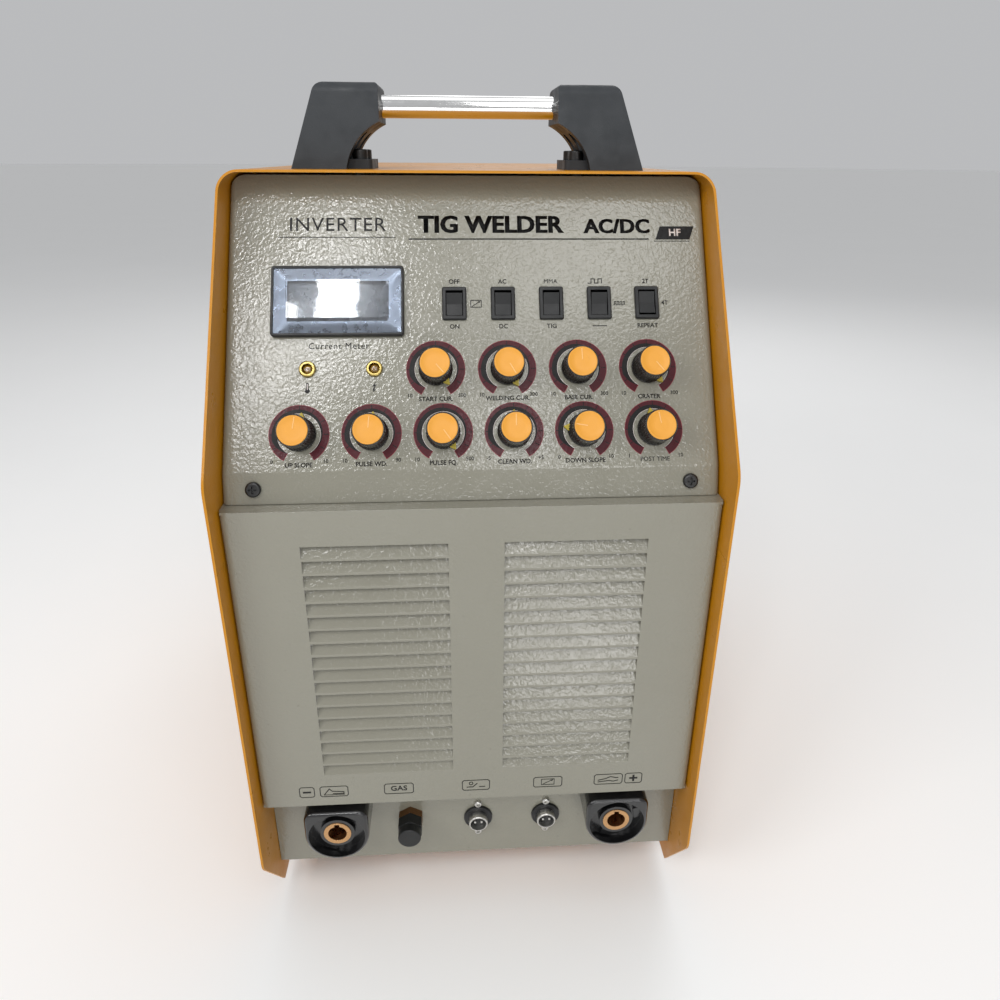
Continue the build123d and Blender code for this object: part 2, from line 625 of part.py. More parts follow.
# ---------------------------------------------------------------- handle
def make_handle_bracket():
    """The right-hand bracket: a solid moulding, waisted under the tube."""
    top_z = TOP_Z + HANDLE_TOP
    foot_in = 78.0
    back = Plane(origin=(0, HANDLE_Y + HANDLE_DEPTH / 2, 0), x_dir=(1, 0, 0), z_dir=(0, -1, 0))
    with BuildSketch(back) as side:
        with BuildLine():
            base = Line((foot_in, TOP_Z), (BRACKET_OUTER_X, TOP_Z))
            slope = Line(base @ 1, (97.0, top_z - 5))
            crown = ThreePointArc(slope @ 1, (94.6, top_z - 1.6), (90.5, top_z))
            top = Line(crown @ 1, (BRACKET_INNER_X + 3, top_z))
            nose_middle = (BRACKET_INNER_X + 0.9, top_z - 0.9)
            nose = ThreePointArc(top @ 1, nose_middle, (BRACKET_INNER_X, top_z - 3))
            drop = Line(nose @ 1, (BRACKET_INNER_X, TUBE_Z - TUBE_R - 3))
            ThreePointArc(drop @ 1, (69.0, TOP_Z + 19), base @ 0)
        make_face()
    bracket = extrude(side.sketch, HANDLE_DEPTH)
    low_y = HANDLE_Y - HANDLE_DEPTH / 2
    high_y = HANDLE_Y + HANDLE_DEPTH / 2
    taper = 7.0
    side_view = [
        (low_y, TOP_Z),
        (high_y, TOP_Z),
        (high_y - taper, top_z),
        (low_y + taper, top_z),
    ]
    envelope = prism(side_view, 0, 200)
    crest = [e for e in envelope.edges().filter_by(Axis.X) if e.center().Z > top_z - 1]
    envelope = fillet(crest, 7)
    bracket &= envelope
    ear = block((62.5, HANDLE_Y - 21, TOP_Z), (84.0, HANDLE_Y + 21, TOP_Z + 6))
    ear = fillet(ear.edges().filter_by(Axis.Z), 3)
    bracket += ear
    for x, y in HANDLE_BOLT_PLACES:
        bracket -= rod(3.3, (x, y, TOP_Z - 1), (x, y, TOP_Z + 8))
        bracket -= rod(5.6, (x, y, TOP_Z + 6), (x, y, TUBE_Z - TUBE_R - 6))
    socket_end = BRACKET_INNER_X + 24
    return bracket - rod(TUBE_R, (BRACKET_INNER_X - 1, HANDLE_Y, TUBE_Z), (socket_end, HANDLE_Y, TUBE_Z))


def make_handle_tube():
    end = BRACKET_INNER_X + 23
    tube = rod(TUBE_R, (-end, HANDLE_Y, TUBE_Z), (end, HANDLE_Y, TUBE_Z))
    return tube - rod(TUBE_R - 1.5, (-end - 1, HANDLE_Y, TUBE_Z), (end + 1, HANDLE_Y, TUBE_Z))


def make_handle_bolts():
    bolts = []
    for x, y in HANDLE_BOLT_PLACES:
        head = rod(5, (x, y, TOP_Z + 6), (x, y, TOP_Z + 12))
        head = fillet(head.edges().group_by(Axis.Z)[-1], 0.8)
        head -= extrude(Plane(origin=(x, y, TOP_Z + 8.5)) * RegularPolygon(2.9, 6), 5)
        bolt = head + rod(3, (x, y, TOP_Z - 12), (x, y, TOP_Z + 6))
        bolt += hexagon(10, (x, y, TOP_Z - SHEET - 5), (x, y, TOP_Z - SHEET))
        bolts.append(bolt)
    return bolts


# ---------------------------------------------------------------- control panel fittings
def make_meter_bezel():
    upward = (Align.CENTER, Align.CENTER, Align.MIN)
    downward = (Align.CENTER, Align.CENTER, Align.MAX)
    bezel = Box(METER_WIDTH, METER_TALL, 4, align=upward)
    bezel = fillet(bezel.edges().filter_by(Axis.Z), 2)
    bezel = chamfer(bezel.edges().group_by(Axis.Z)[-1], 0.5)
    bezel += Box(METER_WIDTH - 8, METER_TALL - 8, 24, align=downward)
    bezel -= Pos(0, 0, 1.5) * Box(METER_WIDTH - 3, METER_TALL - 3, 6, align=upward)
    bezel -= Pos(0, 0, 2) * Box(METER_WIDTH - 12, METER_TALL - 12, 21, align=downward)
    return PANEL * Pos(METER_X, METER_ROW, 0) * bezel


def make_meter_window():
    window = Box(METER_WIDTH - 3, METER_TALL - 3, 6, align=(Align.CENTER, Align.CENTER, Align.MIN))
    top = window.faces().sort_by(Axis.Z)[-1]
    window = chamfer(top.edges(), METER_BEVEL_WIDTH, METER_BEVEL_DEPTH, reference=top)
    return PANEL * Pos(METER_X, METER_ROW, 1.5) * window


def make_meter_display():
    display = Box(62, 26, 8, align=(Align.CENTER, Align.CENTER, Align.MAX))
    board = Pos(0, 0, -8) * Box(66, 30, 1.6, align=(Align.CENTER, Align.CENTER, Align.MAX))
    return PANEL * Pos(METER_X, METER_ROW, 0) * (display + board)


def make_lamp_bezels():
    bezels = []
    for x in LAMP_XS:
        bezel = Cylinder(5.0, 2.0, align=(Align.CENTER, Align.CENTER, Align.MIN))
        bezel = fillet(bezel.edges().group_by(Axis.Z)[-1], 0.9)
        bezel += Cylinder(4, 12, align=(Align.CENTER, Align.CENTER, Align.MAX))
        bezel += Pos(0, 0, -SHEET) * extrude(RegularPolygon(5.6, 6), -2.5)
        bezels.append(PANEL * Pos(x, LAMP_ROW, 0) * (bezel - Cylinder(LENS_R + 0.1, 40)))
    return bezels


def make_lamp_lenses():
    lenses = []
    for x in LAMP_XS:
        lens = Pos(0, 0, -9) * Cylinder(LENS_R, 9.6, align=(Align.CENTER, Align.CENTER, Align.MIN))
        lens = fillet(lens.edges().group_by(Axis.Z)[-1], 2.0)
        lenses.append(PANEL * Pos(x, LAMP_ROW, 0) * lens)
    return lenses


def make_switch_frame(x, along):
    frame = Box(15, 21, 2, align=(Align.CENTER, Align.CENTER, Align.MIN))
    frame = fillet(frame.edges().filter_by(Axis.Z), 1.2)
    frame = chamfer(frame.edges().group_by(Axis.Z)[-1], 0.6)
    frame += Box(13, 19, 15, align=(Align.CENTER, Align.CENTER, Align.MAX))
    frame -= Pos(0, 0, -9) * Box(10.6, 16.2, 12, align=(Align.CENTER, Align.CENTER, Align.MIN))
    frame -= Pos(0, 0, ROCKER_PIVOT) * Rot(0, 90, 0) * Cylinder(1.2 + FIT, 12.6)
    for rise in (-5.5, 0, 5.5):
        frame += Pos(0, rise, -15) * Box(4.8, 0.8, 8, align=(Align.CENTER, Align.CENTER, Align.MAX))
    return PANEL * Pos(x, along, 0) * frame


def make_rocker(x, along, resting_tilt):
    """A see-saw key on its own pins, lying at its resting tilt."""
    outline = [(-6.9, 4.0), (0, 2.9), (6.9, 4.0), (6.9, 1.5), (4.2, -4.5), (-4.2, -4.5), (-6.9, 1.5)]
    points = [(-4.9, across, up) for across, up in outline]
    key = extrude(make_face(Polyline(*points, close=True)), 9.8, dir=(1, 0, 0))
    key += Rot(0, 90, 0) * Cylinder(1.2, 12.2)
    return PANEL * Pos(x, along, ROCKER_PIVOT) * Rot(resting_tilt, 0, 0) * key


def make_knob(x, along, pointer_angle):
    """A knob with its pointer, the cap let into its top, and the spindle that it grips."""
    base = Align.CENTER, Align.CENTER, Align.MIN
    body = Pos(0, 0, KNOB_GAP) * Cone(10.3, 9.6, KNOB_BODY, align=base)
    body = chamfer(body.edges().group_by(Axis.Z)[-1], 0.3)
    tip = Polyline((-2.3, 9.6, KNOB_GAP), (2.3, 9.6, KNOB_GAP), (0, POINTER_R, KNOB_GAP), close=True)
    knob = body + extrude(make_face(tip), 2.2, dir=(0, 0, 1))
    cap_z = KNOB_GAP + KNOB_BODY - 0.5
    knob -= Pos(0, 0, cap_z) * Cylinder(CAP_R, 3, align=base)
    knob -= Cylinder(7.2, 10.4)
    knob -= Cylinder(SHAFT_R, 24)
    cap = Pos(0, 0, cap_z) * Cylinder(CAP_R, KNOB_HEIGHT - cap_z, align=base)
    cap = chamfer(cap.edges().group_by(Axis.Z)[-1], 0.4)
    spindle = Pos(0, 0, -10) * Cylinder(SHAFT_R, 22, align=base)
    place = PANEL * Pos(x, along, 0) * Rot(0, 0, -pointer_angle)
    return [place * knob, place * cap, place * spindle]


def make_potentiometer(x, along):
    """A panel potentiometer: can and terminals behind, threaded bush and nut in front."""
    can = Pos(0, 0, -SHEET) * Cylinder(8.4, 9.5, align=(Align.CENTER, Align.CENTER, Align.MAX))
    can += Pos(0, -8, -SHEET - 2.5) * Box(11, 14, 1.6)
    bush = Pos(0, 0, -SHEET) * Cylinder(3.5, SHEET + 4.8, align=(Align.CENTER, Align.CENTER, Align.MIN))
    nut = extrude(RegularPolygon(5.7, 6), 2.2)
    whole = can + bush + nut
    whole -= Pos(0, 0, -10.4) * Cylinder(SHAFT_R + FIT, 30, align=(Align.CENTER, Align.CENTER, Align.MIN))
    return PANEL * Pos(x, along, 0) * whole


# ---------------------------------------------------------------- connector panel fittings
def make_socket_shell(x):
    """An insulated output socket: flat on top, round below, with a dished front."""
    corner = 7.0
    panel_face = Plane(origin=(x, CONNECTOR_Y, SOCKET_Z), x_dir=(1, 0, 0), z_dir=(0, -1, 0))
    with BuildSketch(panel_face) as outline:
        with BuildLine():
            roof = Line((-SOCKET_R + corner, SOCKET_R - 1), (SOCKET_R - corner, SOCKET_R - 1))
            right = ThreePointArc(
                roof @ 1,
                (SOCKET_R - corner * 0.29, SOCKET_R - 1 - corner * 0.29),
                (SOCKET_R, SOCKET_R - 1 - corner),
            )
            down = Line(right @ 1, (SOCKET_R, 0))
            belly = ThreePointArc(down @ 1, (0, -SOCKET_R), (-SOCKET_R, 0))
            up = Line(belly @ 1, (-SOCKET_R, SOCKET_R - 1 - corner))
            ThreePointArc(
                up @ 1,
                (-SOCKET_R + corner * 0.29, SOCKET_R - 1 - corner * 0.29),
                roof @ 0,
            )
        make_face()
    shell = extrude(outline.sketch, SOCKET_LENGTH)
    front = shell.edges().group_by(Axis.Y)[0]
    shell = fillet(front, 2.5)
    front_y = CONNECTOR_Y - SOCKET_LENGTH
    shell -= rod(DISH_R, (x, front_y - 1, SOCKET_Z), (x, front_y + 7, SOCKET_Z))
    shell += rod(COLLAR_R, (x, front_y + 3, SOCKET_Z), (x, front_y + 8, SOCKET_Z))
    for angle in (20, 140, 260):
        ramp = Pos(x, front_y + 7.5, SOCKET_Z) * Rot(0, angle, 0) * Pos(0, 0, -16) * Box(9, 4, 5)
        shell += ramp
    shell += rod(14.8, (x, CONNECTOR_Y, SOCKET_Z), (x, CONNECTOR_Y + 18, SOCKET_Z))
    return shell - rod(CONTACT_R, (x, front_y - 2, SOCKET_Z), (x, CONNECTOR_Y + 20, SOCKET_Z))


def make_socket_contact(x):
    """The brass bush that takes the cable plug's pin, with its bayonet key notch on top."""
    front_y = CONNECTOR_Y - SOCKET_LENGTH + 2.5
    contact = rod(CONTACT_R, (x, front_y, SOCKET_Z), (x, CONNECTOR_Y + 22, SOCKET_Z))
    contact += rod(5, (x, CONNECTOR_Y + 21, SOCKET_Z), (x, CONNECTOR_Y + 42, SOCKET_Z))
    contact += hexagon(17, (x, CONNECTOR_Y + 26, SOCKET_Z), (x, CONNECTOR_Y + 33, SOCKET_Z))
    contact -= rod(PLUG_R, (x, front_y - 1, SOCKET_Z), (x, CONNECTOR_Y + 16, SOCKET_Z))
    notch = block((x - 1.7, front_y - 1, SOCKET_Z + 5), (x + 1.7, front_y + 9, SOCKET_Z + 8.2))
    return contact - notch


def make_gas_outlet():
    outlet = hexagon(17, (GAS_X, CONNECTOR_Y, GAS_Z), (GAS_X, CONNECTOR_Y - 5, GAS_Z))
    outlet += rod(6.4, (GAS_X, CONNECTOR_Y - 5, GAS_Z), (GAS_X, CONNECTOR_Y - 17, GAS_Z))
    outlet += rod(6, (GAS_X, CONNECTOR_Y, GAS_Z), (GAS_X, CONNECTOR_Y + 14, GAS_Z))
    outlet += hexagon(16, (GAS_X, CONNECTOR_Y + SHEET, GAS_Z), (GAS_X, CONNECTOR_Y + 6, GAS_Z))
    return outlet - rod(3, (GAS_X, CONNECTOR_Y - 18, GAS_Z), (GAS_X, CONNECTOR_Y + 15, GAS_Z))


def make_gas_cap():
    back_y = CONNECTOR_Y - 5.4
    front_y = CONNECTOR_Y - 19.4
    collar = hexagon(16.8, (GAS_X, back_y, GAS_Z), (GAS_X, back_y - 7.5, GAS_Z))
    cap = collar + rod(8.3, (GAS_X, back_y - 6, GAS_Z), (GAS_X, front_y, GAS_Z))
    cap = fillet(cap.edges().group_by(Axis.Y)[0], 1.0)
    return cap - rod(6.4 + FIT, (GAS_X, back_y + 1, GAS_Z), (GAS_X, CONNECTOR_Y - 17.2, GAS_Z))


def make_control_socket_rings():
    rings = []
    for x in CONTROL_XS:
        ring = rod(10.6, (x, CONNECTOR_Y, CONTROL_Z), (x, CONNECTOR_Y - 2.2, CONTROL_Z))
        ring = fillet(ring.edges().group_by(Axis.Y)[0], 0.9)
        rings.append(ring - rod(BARREL_R, (x, CONNECTOR_Y + 1, CONTROL_Z), (x, CONNECTOR_Y - 4, CONTROL_Z)))
    return rings


def make_control_socket_shells():
    shells = []
    for x in CONTROL_XS:
        shell = rod(BARREL_R, (x, CONNECTOR_Y + 12, CONTROL_Z), (x, CONNECTOR_Y - 3, CONTROL_Z))
        shell += rod(PLUG_THREAD_R, (x, CONNECTOR_Y - 2.4, CONTROL_Z), (x, CONNECTOR_Y - 7.5, CONTROL_Z))
        shell += hexagon(16, (x, CONNECTOR_Y + SHEET, CONTROL_Z), (x, CONNECTOR_Y + 5, CONTROL_Z))
        shell = chamfer(shell.edges().group_by(Axis.Y)[0], 0.5)
        shells.append(shell - rod(5.9, (x, CONNECTOR_Y + 13, CONTROL_Z), (x, CONNECTOR_Y - 9, CONTROL_Z)))
    return shells


def make_control_socket_inserts():
    inserts = []
    for x in CONTROL_XS:
        insert = rod(5.9, (x, CONNECTOR_Y + 10, CONTROL_Z), (x, CONNECTOR_Y - 3.5, CONTROL_Z))
        for side in (-PIN_OFFSET, PIN_OFFSET):
            low = (x + side, CONNECTOR_Y + 14, CONTROL_Z + 1)
            insert += rod(PIN_R, low, (x + side, CONNECTOR_Y - 6.5, CONTROL_Z + 1))
        inserts.append(insert)
    return inserts


def make_control_socket_screws():
    screws = []
    for x in CONTROL_XS:
        for rise in (-CONTROL_SCREW, CONTROL_SCREW):
            place = Plane(
                origin=(x, CONNECTOR_Y, CONTROL_Z + rise), x_dir=(1, 0, 0), z_dir=(0, -1, 0)
            )
            screws.append(place * Rot(0, 0, 25) * pan_screw(2.8, 1.5, 7))
    return screws


# ---------------------------------------------------------------- inside
def make_mid_deck():
    deck = block((-PANEL_HALF + SHEET, -205, DECK_Z), (PANEL_HALF - SHEET, 186, DECK_Z + 2))
    wall = block((PANEL_HALF - 2 * SHEET, -205, DECK_Z), (PANEL_HALF - SHEET, 186, DECK_Z + 26))
    deck += mirrored(wall)
    for x, y in ((-60, -60), (60, -60), (0, 130)):
        deck -= Pos(x, y, DECK_Z) * Cylinder(14, 10)
    return deck


def heatsink(x_low, x_high):
    low_z = DECK_Z + 12
    base_z = low_z + 42
    sink = block((x_low, -150, base_z), (x_high, 150, base_z + 9))
    count = 9
    pitch = (x_high - x_low - 3) / (count - 1)
    for i in range(count):
        x = x_low + pitch * i
        sink += block((x, -150, low_z), (x + 3, 150, base_z))
    return sink


def make_heatsinks():
    return mirrored(heatsink(20, 125))


def make_power_board():
    """The inverter board over the heatsinks: switches below it, capacitor cans on top."""
    sink_top = DECK_Z + 12 + 42 + 9
    top = sink_top + 14
    board = block((-128, -155, top - 2), (128, 155, top))
    for x in (-100, -70, -40, 40, 70, 100):
        for y in (-120, -60, 60, 120):
            board += block((x - 8, y - 10, sink_top), (x + 8, y + 10, top - 2))
    pieces = [board]
    for x in (-60, 0, 60):
        for y in (-30, 30):
            can = rod(17.5, (x, y, top), (x, y, top + 50))
            pieces.append(fillet(can.edges().group_by(Axis.Z)[-1], 2))
    return pieces


def make_control_board():
    depth = 36
    board = Box(286, 104, 1.6, align=(Align.CENTER, Align.CENTER, Align.MAX))
    for x in (-95, -40, 20, 80):
        board += Pos(x, -18, 0) * Box(34, 18, 7, align=(Align.CENTER, Align.CENTER, Align.MIN))
    for x in (-110, -70, 110):
        board += Pos(x, 28, 0) * Box(16, 22, 9, align=(Align.CENTER, Align.CENTER, Align.MIN))
    return PANEL * Pos(0, -46, -depth) * board


def make_transformer():
    floor = FOOT_HEIGHT + SHEET
    core = block((-95, -120, floor), (-5, -40, floor + 120))
    core -= block((-75, -121, floor + 22), (-25, -39, floor + 98))
    core += block((-58, -120, floor + 22), (-42, -40, floor + 98))
    coil = block((-74, -135, floor + 25), (-26, -25, floor + 95))
    coil = fillet(coil.edges().filter_by(Axis.Z), 10)
    return core + coil


def make_inductor():
    floor = FOOT_HEIGHT + SHEET
    ring = Pos(65, -75, floor + 57) * Rot(0, 90, 0) * Torus(40, 17)
    foot = block((48, -105, floor), (82, -45, floor + 8))
    return ring + foot


def make_igniter():
    floor = FOOT_HEIGHT + SHEET
    case = block((-120, -10, floor), (-40, 60, floor + 55))
    case = fillet(case.edges().filter_by(Axis.Z), 3)
    return case + rod(18, (-80, 25, floor + 50), (-80, 25, floor + 90))


def make_gas_valve():
    z = REAR_FITTING_Z
    valve = block((INLET_X - 13, BACK_Y - 62, z - 12), (INLET_X + 13, BACK_Y - 14, z + 12))
    valve += rod(14, (INLET_X, BACK_Y - 38, z + 8), (INLET_X, BACK_Y - 38, z + 52))
    valve += rod(5, (INLET_X, BACK_Y - 84, z), (INLET_X, BACK_Y - 60, z))
    return valve


# ---------------------------------------------------------------- write the parts
save("top_cover", make_top_cover())
save("base_tray", make_base_tray())
save("rubber_feet", *make_rubber_feet())
save("cover_screws", *make_cover_screws())
save("control_panel", make_control_panel())
save("louvre_panel", make_louvre_panel())
save("connector_panel", make_connector_panel())
save("panel_screws", *make_panel_screws())
save("rear_panel", make_rear_panel())
save("rear_screws", *make_rear_screws())
save("fan_frame", make_fan_frame())
save("fan_rotor", make_fan_rotor())
save("fan_guard", make_fan_guard())
save("breaker_body", make_breaker_body())
save("breaker_lever", make_breaker_lever())
save("cable_gland", make_cable_gland())
save("gas_inlet", make_gas_inlet())
save("earth_stud", make_earth_stud())

right_bracket = make_handle_bracket()
save("handle_bracket_right", right_bracket)
save("handle_bracket_left", mirror(right_bracket, about=Plane.YZ))
save("handle_tube", make_handle_tube())
save("handle_bolts", *make_handle_bolts())

save("meter_bezel", make_meter_bezel())
save("meter_window", make_meter_window())
save("meter_display", make_meter_display())
save("lamp_bezels", *make_lamp_bezels())
save("lamp_lenses", *make_lamp_lenses())
save("switch_frames", *[make_switch_frame(x, along) for x, along in switch_places()])
for (name, resting_tilt), (x, along) in zip(ROCKERS, switch_places()):
    save(name, make_rocker(x, along, resting_tilt))
for name, column, row, pointer_angle in KNOBS:
    save(name, *make_knob(*knob_place(column, row), pointer_angle))
save("potentiometers", *[make_potentiometer(x, along) for x, along in dial_places()])

save("output_socket_shells", *[make_socket_shell(x) for x in (-SOCKET_X, SOCKET_X)])
save("output_socket_contacts", *[make_socket_contact(x) for x in (-SOCKET_X, SOCKET_X)])
save("gas_outlet", make_gas_outlet())
save("gas_cap", make_gas_cap())
save("control_socket_rings", *make_control_socket_rings())
save("control_socket_shells", *make_control_socket_shells())
save("control_socket_inserts", *make_control_socket_inserts())
save("control_socket_screws", *make_control_socket_screws())

save("mid_deck", make_mid_deck())
save("heatsinks", *make_heatsinks())
save("power_board", *make_power_board())
save("control_board", make_control_board())
save("main_transformer", make_transformer())
save("output_inductor", make_inductor())
save("hf_igniter", make_igniter())
save("gas_valve", make_gas_valve())
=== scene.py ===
import json
import math

import bmesh
import bpy
from mathutils import Matrix, Vector


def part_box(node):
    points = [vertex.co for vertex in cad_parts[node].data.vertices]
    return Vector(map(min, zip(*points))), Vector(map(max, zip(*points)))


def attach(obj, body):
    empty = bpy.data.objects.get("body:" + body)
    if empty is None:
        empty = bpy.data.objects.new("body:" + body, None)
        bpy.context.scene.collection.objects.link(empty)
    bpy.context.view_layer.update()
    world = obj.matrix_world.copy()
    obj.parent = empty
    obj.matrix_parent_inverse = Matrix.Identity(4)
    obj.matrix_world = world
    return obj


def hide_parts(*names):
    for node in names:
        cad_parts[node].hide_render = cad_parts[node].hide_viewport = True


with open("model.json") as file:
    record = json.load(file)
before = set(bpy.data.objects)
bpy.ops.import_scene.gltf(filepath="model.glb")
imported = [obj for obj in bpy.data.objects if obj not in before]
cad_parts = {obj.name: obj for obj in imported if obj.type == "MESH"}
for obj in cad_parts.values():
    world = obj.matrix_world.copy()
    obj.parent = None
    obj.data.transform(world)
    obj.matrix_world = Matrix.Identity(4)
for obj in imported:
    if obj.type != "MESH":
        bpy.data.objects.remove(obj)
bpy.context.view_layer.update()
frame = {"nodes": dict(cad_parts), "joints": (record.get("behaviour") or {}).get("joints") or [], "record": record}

MM = 0.001
NODES = frame["nodes"]
JOINTS = {joint["name"]: joint for joint in frame["joints"]}

# ---------------------------------------------------------------- places, from the frame
# dial, first number, last number, caption
DIALS = [
    ("start_current", "10", "300", "START CUR."),
    ("weld_current", "10", "300", "WELDING CUR."),
    ("base_current", "10", "300", "BASE CUR."),
    ("crater_current", "10", "300", "CRATER"),
    ("up_slope", "0", "10", "UP SLOPE"),
    ("pulse_width", "10", "90", "PULSE WD."),
    ("pulse_frequency", "10", "500", "PULSE FQ."),
    ("cleaning_width", "-5", "+5", "CLEAN WD."),
    ("down_slope", "0", "10", "DOWN SLOPE"),
    ("post_flow", "1", "10", "POST TIME"),
]
SWITCHES = ["remote", "ac_dc", "process", "pulse", "trigger_mode"]
FIRST_DIAL = Vector(JOINTS["start_current_turn"]["pos_m"])
OUT = Vector(JOINTS["start_current_turn"]["axis"])
UP = Vector((0, -OUT.z, OUT.y)) * -1
LOUVRE_FACE_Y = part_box("louvre_panel")[0].y
FLOOR_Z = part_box("rubber_feet")[0].z


def panel_place(point, out_mm=0.0):
    """The matrix that lays a drawing in metres on the control panel, with its origin at a point."""
    turn = Matrix((Vector((1, 0, 0)), UP, OUT)).transposed().to_4x4()
    return Matrix.Translation(Vector(point) + OUT * out_mm * MM) @ turn


def front_place(x, z, out_mm=0.0):
    """The same on the upright louvre panel."""
    turn = Matrix(((1, 0, 0), (0, 0, -1), (0, 1, 0))).to_4x4()
    return Matrix.Translation((x, LOUVRE_FACE_Y - out_mm * MM, z)) @ turn


def dial_centre(name):
    return Vector(JOINTS[name + "_turn"]["pos_m"])


def on_panel(x_mm, up_mm):
    """A point of the panel's face: x from the middle, and up the slope from the upper dials."""
    return Vector((x_mm * MM, FIRST_DIAL.y, FIRST_DIAL.z)) + UP * up_mm * MM


# ---------------------------------------------------------------- materials
class Surface:
    """A procedural material. Its textures lie in the object's own coordinates, in metres."""

    def __init__(self, name, colour, roughness, metallic=0.0, coat=0.0, specular=0.5):
        self.material = bpy.data.materials.new(name)
        self.material.use_nodes = True
        self.tree = self.material.node_tree
        self.shader = self.tree.nodes["Principled BSDF"]
        self.colour = colour
        self.shader.inputs["Base Color"].default_value = (*colour, 1)
        self.shader.inputs["Roughness"].default_value = roughness
        self.shader.inputs["Metallic"].default_value = metallic
        self.shader.inputs["Coat Weight"].default_value = coat
        self.shader.inputs["Coat Roughness"].default_value = 0.12
        self.shader.inputs["Specular IOR Level"].default_value = specular
        self.place = self.node("ShaderNodeTexCoord").outputs["Object"]
        self.normal = None
        self.tint = None
        self.coated = coat > 0

    def node(self, kind, **settings):
        made = self.tree.nodes.new(kind)
        for key, value in settings.items():
            setattr(made, key, value)
        return made

    def link(self, output, socket):
        self.tree.links.new(output, socket)

    def stretched(self, x, y, z):
        """The coordinates scaled along each axis, for grain that runs one way."""
        mapping = self.node("ShaderNodeMapping")
        self.link(self.place, mapping.inputs["Vector"])
        mapping.inputs["Scale"].default_value = (x, y, z)
        return mapping.outputs["Vector"]

    def noise(self, size_mm, detail=2.0, place=None, distortion=0.0):
        made = self.node("ShaderNodeTexNoise")
        self.link(place or self.place, made.inputs["Vector"])
        made.inputs["Scale"].default_value = 1 / (size_mm * MM)
        made.inputs["Detail"].default_value = detail
        made.inputs["Distortion"].default_value = distortion
        return made.outputs["Fac"]

    def limits(self, value, low, high, to_low=0.0, to_high=1.0):
        made = self.node("ShaderNodeMapRange")
        self.link(value, made.inputs["Value"])
        made.inputs["From Min"].default_value = low
        made.inputs["From Max"].default_value = high
        made.inputs["To Min"].default_value = to_low
        made.inputs["To Max"].default_value = to_high
        return made.outputs["Result"]

    def times(self, first, second):
        made = self.node("ShaderNodeMath", operation="MULTIPLY")
        self.link(first, made.inputs[0])
        if isinstance(second, float):
            made.inputs[1].default_value = second
        else:
            self.link(second, made.inputs[1])
        return made.outputs["Value"]

    def paint(self, colour, mask):
        """Lays a colour over what is there, where the mask is high."""
        made = self.node("ShaderNodeMix", data_type="RGBA")
        self.link(mask, made.inputs["Factor"])
        if self.tint is None:
            made.inputs["A"].default_value = (*self.colour, 1)
        else:
            self.link(self.tint, made.inputs["A"])
        made.inputs["B"].default_value = (*colour, 1)
        self.tint = made.outputs["Result"]
        self.link(self.tint, self.shader.inputs["Base Color"])

    def vary_roughness(self, value, low, high):
        self.link(self.limits(value, 0.3, 0.7, low, high), self.shader.inputs["Roughness"])

    def face(self, normal):
        self.normal = normal
        self.link(normal, self.shader.inputs["Normal"])
        if self.coated:
            self.link(normal, self.shader.inputs["Coat Normal"])

    def bump(self, height, depth_mm):
        made = self.node("ShaderNodeBump")
        made.inputs["Strength"].default_value = 1.0
        made.inputs["Distance"].default_value = depth_mm * MM
        self.link(height, made.inputs["Height"])
        if self.normal is not None:
            self.link(self.normal, made.inputs["Normal"])
        self.face(made.outputs["Normal"])

    def round_edges(self, radius_mm):
        """Softens sharp edges in the shading. It comes before any bump."""
        made = self.node("ShaderNodeBevel", samples=4)
        made.inputs["Radius"].default_value = radius_mm * MM
        self.face(made.outputs["Normal"])

    def edge_mask(self, radius_mm):
        """High near the sharp edges of the part."""
        bevel = self.node("ShaderNodeBevel", samples=4)
        bevel.inputs["Radius"].default_value = radius_mm * MM
        geometry = self.node("ShaderNodeNewGeometry")
        dot = self.node("ShaderNodeVectorMath", operation="DOT_PRODUCT")
        self.link(bevel.outputs["Normal"], dot.inputs[0])
        self.link(geometry.outputs["Normal"], dot.inputs[1])
        return self.limits(dot.outputs["Value"], 0.98, 0.80)


def linear(red, green, blue):
    """An sRGB colour in 0 to 255 as the linear values that a shader takes."""
    return tuple(((c / 255 + 0.055) / 1.055) ** 2.4 if c > 10 else c / 3295 for c in (red, green, blue))


def yellow_paint():
    s = Surface("yellow_paint", linear(196, 132, 8), 0.35, coat=0.1, specular=0.35)
    s.paint(linear(178, 112, 6), s.times(s.noise(55, 3), 0.6))
    s.paint(linear(112, 78, 26), s.limits(s.noise(9, 6), 0.68, 0.76, 0, 0.3))
    # Lighter towards the sharp edges: partly edge wear, partly a painted edge highlight.
    s.paint(linear(240, 200, 104), s.times(s.edge_mask(0.35), 0.4))
    s.vary_roughness(s.noise(20, 4), 0.26, 0.42)
    s.round_edges(0.5)
    s.bump(s.noise(1.9, 2), 0.12)
    return s.material


def grey_paint():
    s = Surface("grey_paint", linear(134, 132, 119), 0.25, coat=0.6)
    s.paint(linear(128, 125, 111), s.times(s.noise(60, 3), 0.7))
    s.paint(linear(92, 86, 70), s.limits(s.noise(5, 8), 0.70, 0.78, 0, 0.3))
    # Lighter towards the sharp edges: partly edge wear, partly a painted edge highlight.
    s.paint(linear(198, 196, 184), s.times(s.edge_mask(0.4), 0.4))
    s.vary_roughness(s.noise(14, 4), 0.14, 0.24)
    s.round_edges(0.5)
    s.bump(s.noise(2.2, 1.2, distortion=0.5), 0.24)
    s.bump(s.noise(0.8, 2), 0.02)
    return s.material


